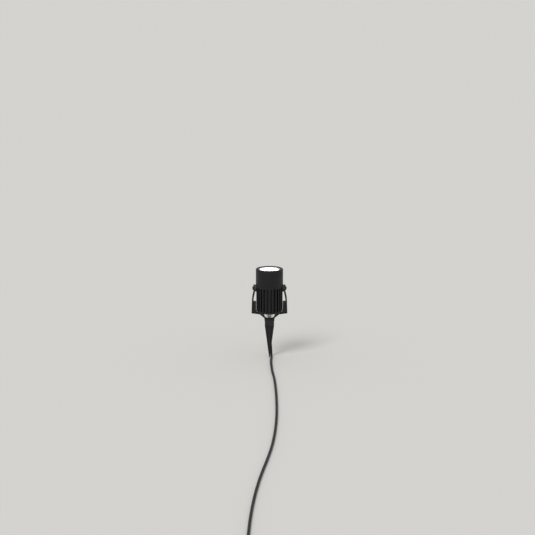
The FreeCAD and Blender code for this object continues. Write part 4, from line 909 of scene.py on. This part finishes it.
# ---- tie
@dataclass
class CoilStrap:
    """The hook-and-loop strap round the put-away coil, its free end lapped over the top.

    The step up to the lap is given as each point's distance before the lap and share of its rise.
    """

    thickness: float = 1.0
    pulled_thin: float = 0.95
    rounding: float = 0.2
    edge_turn: float = 40.0
    corner: float = 3.0
    corner_steps: int = 6
    lap: float = 13.0
    lap_rise: float = 1.05
    step_up: Pairs = ((3.0, 0.25), (0.8, 1.0))
    lap_points: tuple[float, ...] = (0.25, 0.5, 0.75)
    end_lift: float = 1.15
    stitch_rows: int = 2
    row_step: float = 2.0
    row_inset: float = 3.0
    stitches: int = 6
    stitch_radius: float = 0.16
    stitch_length: float = 0.8
    stitch_sides: int = 8
    stitch_rounding: float = 0.1
    stitch_turn: float = 60.0
    stitch_lift: float = 0.04
    sewn_share: float = 0.86

    def path(self, low: Vector, high: Vector) -> list[tuple[float, float]]:
        """Works out the strap's middle line round the bundle, from its hidden end to its free one.

        Args:
            low: the lowest corner of the space round the bundle, in metres.
            high: its highest corner.

        Returns:
            Points across the strap, as (x, z) in metres.
        """
        half = mm(self.thickness / 2)
        left, right, bottom, top = low.x + half, high.x - half, low.z + half, high.z - half
        radius = mm(self.corner)
        corners = ((right, top, 90.0), (right, bottom, 0.0), (left, bottom, -90.0), (left, top, -180.0))
        middle = (left + right) / 2
        start = middle - mm(self.lap / 2)
        points = [(start, top), (middle, top)]
        for x, z, angle in corners:
            centre_x = x - radius if x == right else x + radius
            centre_z = z - radius if z == top else z + radius
            for step in range(self.corner_steps + 1):
                turn = math.radians(angle - 90 / self.corner_steps * step)
                points.append((centre_x + radius * math.cos(turn), centre_z + radius * math.sin(turn)))
        rise = mm(self.lap_rise)
        points += [(start - mm(before), top + rise * share) for before, share in self.step_up]
        points += [(start + mm(self.lap) * share, top + rise) for share in self.lap_points]
        points += [(start + mm(self.lap), top + rise * self.end_lift)]
        return points

    def band(self, line: list[tuple[float, float]], middle: float, width: float) -> bpy.types.Object:
        """Draws the strap's short edge out along its path, one step at a time.

        Args:
            line: points across the strap, as (x, z) in metres.
            middle: the strap's middle along Y, in metres.
            width: its width, in metres.

        Returns:
            The strap without its thickness, mapped in metres along it and across it.
        """
        (x, z), (next_x, next_z) = line[:2]
        strap = new_piece("coil_strap", bpy.ops.mesh.primitive_plane_add, size=1.0,
                          location=((x + next_x) / 2, middle, (z + next_z) / 2))
        strap.scale = (next_x - x, width, 1.0)
        settle(strap)
        for vertex in strap.data.vertices:
            vertex.select = vertex.co.x > (x + next_x) / 2
        for part in (strap.data.edges, strap.data.polygons):
            for item in part:
                item.select = False

        def draw_out() -> None:
            """Extrudes the free edge through every later point."""
            bpy.ops.mesh.select_mode(type="VERT")
            for (x, z), (next_x, next_z) in zip(line[1:], line[2:]):
                step = (next_x - x, 0, next_z - z)
                bpy.ops.mesh.extrude_region_move(TRANSFORM_OT_translate={"value": step})

        shape_mesh(strap, draw_out)
        lengths = [0.0]
        for before, after in zip(line, line[1:]):
            lengths.append(lengths[-1] + math.dist(before, after))
        mesh = strap.data
        on_map = mesh.uv_layers.active or mesh.uv_layers.new(name="UVMap")
        for loop in mesh.loops:
            spot = mesh.vertices[loop.vertex_index].co
            nearest = min(range(len(line)), key=lambda k: math.dist(line[k], (spot.x, spot.z)))
            on_map.data[loop.index].uv = (spot.y - middle, lengths[nearest])
        return strap

    def stitching(self, edge_x: float, top: float, y: float, width: float) -> list[bpy.types.Object]:
        """Sews two short rows across the strap where the hook patch is held.

        Args:
            edge_x: place of the first row, in metres.
            top: height of the strap's upper face, in metres.
            y: middle of the strap, in metres.
            width: the strap's width, in metres.

        Returns:
            The stitches, one object each.
        """
        stitch = new_piece("stitch", bpy.ops.mesh.primitive_cylinder_add, vertices=self.stitch_sides,
                           radius=mm(self.stitch_radius), depth=mm(self.stitch_length),
                           rotation=(math.radians(90), 0, 0))
        settle(stitch)
        soften(stitch, self.stitch_rounding, self.stitch_turn)
        made = []
        for row in range(self.stitch_rows):
            for k in range(self.stitches):
                across = (k + 0.5) / self.stitches - 0.5
                at = Vector((edge_x + mm(self.row_step) * row, y + width * self.sewn_share * across,
                             top + mm(self.stitch_lift)))
                made.append(copy_of(stitch, Matrix.Translation(at)))
        bpy.data.objects.remove(stitch)
        return made

    def build(self, wardrobe: Wardrobe) -> list[bpy.types.Object]:
        """Builds the strap in the place of the CAD band.

        Args:
            wardrobe: where the finishes come from.

        Returns:
            The strap and its stitching.
        """
        low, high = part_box("coil_tie")
        line = self.path(low, high)
        width, middle = high.y - low.y, (high.y + low.y) / 2
        strap = self.band(line, middle, width)
        solid = strap.modifiers.new("tape", "SOLIDIFY")
        solid.thickness, solid.offset = mm(self.thickness * self.pulled_thin), 0.0
        pick_only(strap)
        bpy.ops.object.modifier_apply(modifier=solid.name)
        shape_mesh(strap, face_outwards)
        soften(strap, self.rounding, self.edge_turn)
        wardrobe.wear(strap, TAPE, "tie_fabric", "stand")
        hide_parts("coil_tie")
        lap_x, lap_z = line[-2]
        top = lap_z + mm(self.thickness * self.pulled_thin / 2)
        sewn = self.stitching(lap_x - mm(self.row_inset), top, middle, width)
        thread = join_pieces("strap_stitching", sewn)
        wardrobe.wear(thread, THREAD, "tie_fabric", "stand")
        return [strap, thread]


# ---- cord
@dataclass
class Cord:
    """The rubber lead: from the gland, over the floor, through the coil and into the plug.

    Its sizes are in millimetres and its length in metres. The drop hangs behind the spike, the run lies
    on the floor and the tail, which is given from the coil's upper end, leads to the plug.
    """

    radius: float = 3.0
    length: float = 3.011
    coil_radius: float = 42.0
    coil_pitch: float = 6.6
    coil_layer: float = 6.6
    coil_start: Point = (-43.2, -1480.0, 4.3)
    half_turns_down: int = 5
    half_turns_up: int = 6
    climb: tuple[float, ...] = (0.08, 0.35, 0.65, 0.92)
    coil_lead: float = 6.0
    steps: int = 10
    side_steps: int = 5
    smooth_turn: float = 50.0

    drop: tuple[Point, ...] = (
        (0.0, 17.0, 100.0), (0.0, 17.0, 78.0), (1.6, 22.9, 54.0), (3.2, 21.3, 30.3), (4.7, 11.3, 13.0),
        (5.25, -6.0, 3.0), (4.71, -24.0, 3.0),
    )
    run: tuple[Point, ...] = (
        (3.75, -56.0, 3.0), (5.0, -104.0, 3.0), (6.9, -158.0, 3.0), (11.0, -208.0, 3.0), (14.0, -280.0, 3.0),
        (15.9, -366.0, 3.0), (16.7, -452.0, 3.0), (16.4, -540.0, 3.0), (14.4, -626.0, 3.0),
        (10.6, -710.0, 3.0), (4.6, -796.0, 3.0), (-4.4, -880.0, 3.0), (-14.6, -962.0, 3.0),
        (-23.6, -1044.0, 3.0), (-30.6, -1126.0, 3.0), (-35.8, -1206.0, 3.0), (-39.6, -1286.0, 3.0),
        (-42.0, -1366.0, 3.0), (-43.2, -1426.0, 4.3), (-43.2, -1474.0, 4.3),
    )
    tail: tuple[Point, ...] = (
        (0.0, -22.0, 0.0), (1.2, -44.0, 3.6), (0.0, -66.0, 7.6), (0.0, -84.0, 7.6),
    )

    def turns(self) -> list[Point]:
        """Works out the coil's control points, one to each share of the climb in every half turn.

        Returns:
            Points in millimetres, spiralling in below and out on top.
        """
        down = [self.coil_radius - self.coil_pitch / 2 * k for k in range(self.half_turns_down)]
        inner = down[-1] - self.coil_pitch / 2
        up = [inner + self.coil_pitch / 2 * (k + 1) for k in range(self.half_turns_up)]
        x, y, z = self.coil_start
        side, half_step, points = 1.0, math.pi / 8, []
        for k, radius in enumerate(down + [inner] + up):
            rise = self.coil_layer if k == len(down) else 0.0
            reach = radius / math.cos(half_step)
            for step, climbed in enumerate(self.climb):
                angle = half_step + 2 * step * half_step
                points.append((
                    x + side * (radius - reach * math.cos(angle)),
                    y - side * reach * math.sin(angle),
                    z + rise * climbed,
                ))
            x, z, side = x + side * 2 * radius, z + rise, -side
        return points

    def route(self) -> list[Point]:
        """Joins the stretches into the whole cord's control points."""
        x, y, z = self.coil_start
        y, z = y - self.coil_lead, z + self.coil_layer
        away = [(x + dx, y + dy, z + dz) for dx, dy, dz in self.tail]
        return [*self.drop, *self.run, *self.turns(), (x, y, z), *away]

    def lay_map(self, cord: bpy.types.Object, line: list[Vector]) -> None:
        """Maps the tube in metres, round it and along it, so that its fine lines follow it.

        Args:
            cord: the tube, whose rings of points stand one to each point of the line.
            line: the points that it follows.
        """
        mesh = cord.data
        sides = len(mesh.vertices) // len(line)
        lengths = [0.0]
        for before, after in zip(line, line[1:]):
            lengths.append(lengths[-1] + (after - before).length)
        round_step = 2 * math.pi * mm(self.radius) / sides
        on_map = mesh.uv_layers.active or mesh.uv_layers.new(name="UVMap")
        for face in mesh.polygons:
            places = [mesh.loops[k].vertex_index % sides for k in face.loop_indices]
            seam = 0 in places and sides - 1 in places
            for k, spot in zip(face.loop_indices, places):
                ring = min(mesh.loops[k].vertex_index // sides, len(line) - 1)
                on_map.data[k].uv = ((sides if seam and spot == 0 else spot) * round_step, lengths[ring])

    def build(self, wardrobe: Wardrobe, on_it: list[bpy.types.Object]) -> None:
        """Args:
            wardrobe: where its finish comes from.
            on_it: the separate pieces that are on the cord; not used.
        """
        data = bpy.data.curves.new("cord_route", "CURVE")
        data.dimensions, data.resolution_u = "3D", self.steps
        spline = data.splines.new("NURBS")
        points = self.route()
        spline.points.add(len(points) - 1)
        for knot, point in zip(spline.points, points):
            knot.co = (*place(point), 1.0)
        spline.order_u, spline.use_endpoint_u = 3, True
        route = bpy.data.objects.new("cord_route", data)
        bpy.context.scene.collection.objects.link(route)
        line = [v.co.copy() for v in bpy.data.meshes.new_from_object(route).vertices]
        data.bevel_depth, data.bevel_resolution = mm(self.radius), self.side_steps
        data.use_fill_caps = True
        cord = bpy.data.objects.new("cord", bpy.data.meshes.new_from_object(route))
        bpy.context.scene.collection.objects.link(cord)
        bpy.data.objects.remove(route)
        self.lay_map(cord, line)
        shape_mesh(cord, close_seams)
        pick_only(cord)
        bpy.ops.object.shade_smooth_by_angle(angle=math.radians(self.smooth_turn))
        wardrobe.wear(cord, CORD_RUBBER, "cord_rubber")
        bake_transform(cord)
        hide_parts("cord_drop", "cord_floor", "cord_coil", "cord_tail")


def main() -> None:
    """Builds the lamp's classes in order."""
    logging.basicConfig(level=logging.INFO)
    wardrobe = Wardrobe()
    Studio().build()
    plug, strap = Plug().build(wardrobe), CoilStrap().build(wardrobe)
    Cord().build(wardrobe, plug + strap)
    Head().build(wardrobe)
    Stand().build(wardrobe)


if __name__ == "__main__":
    main()
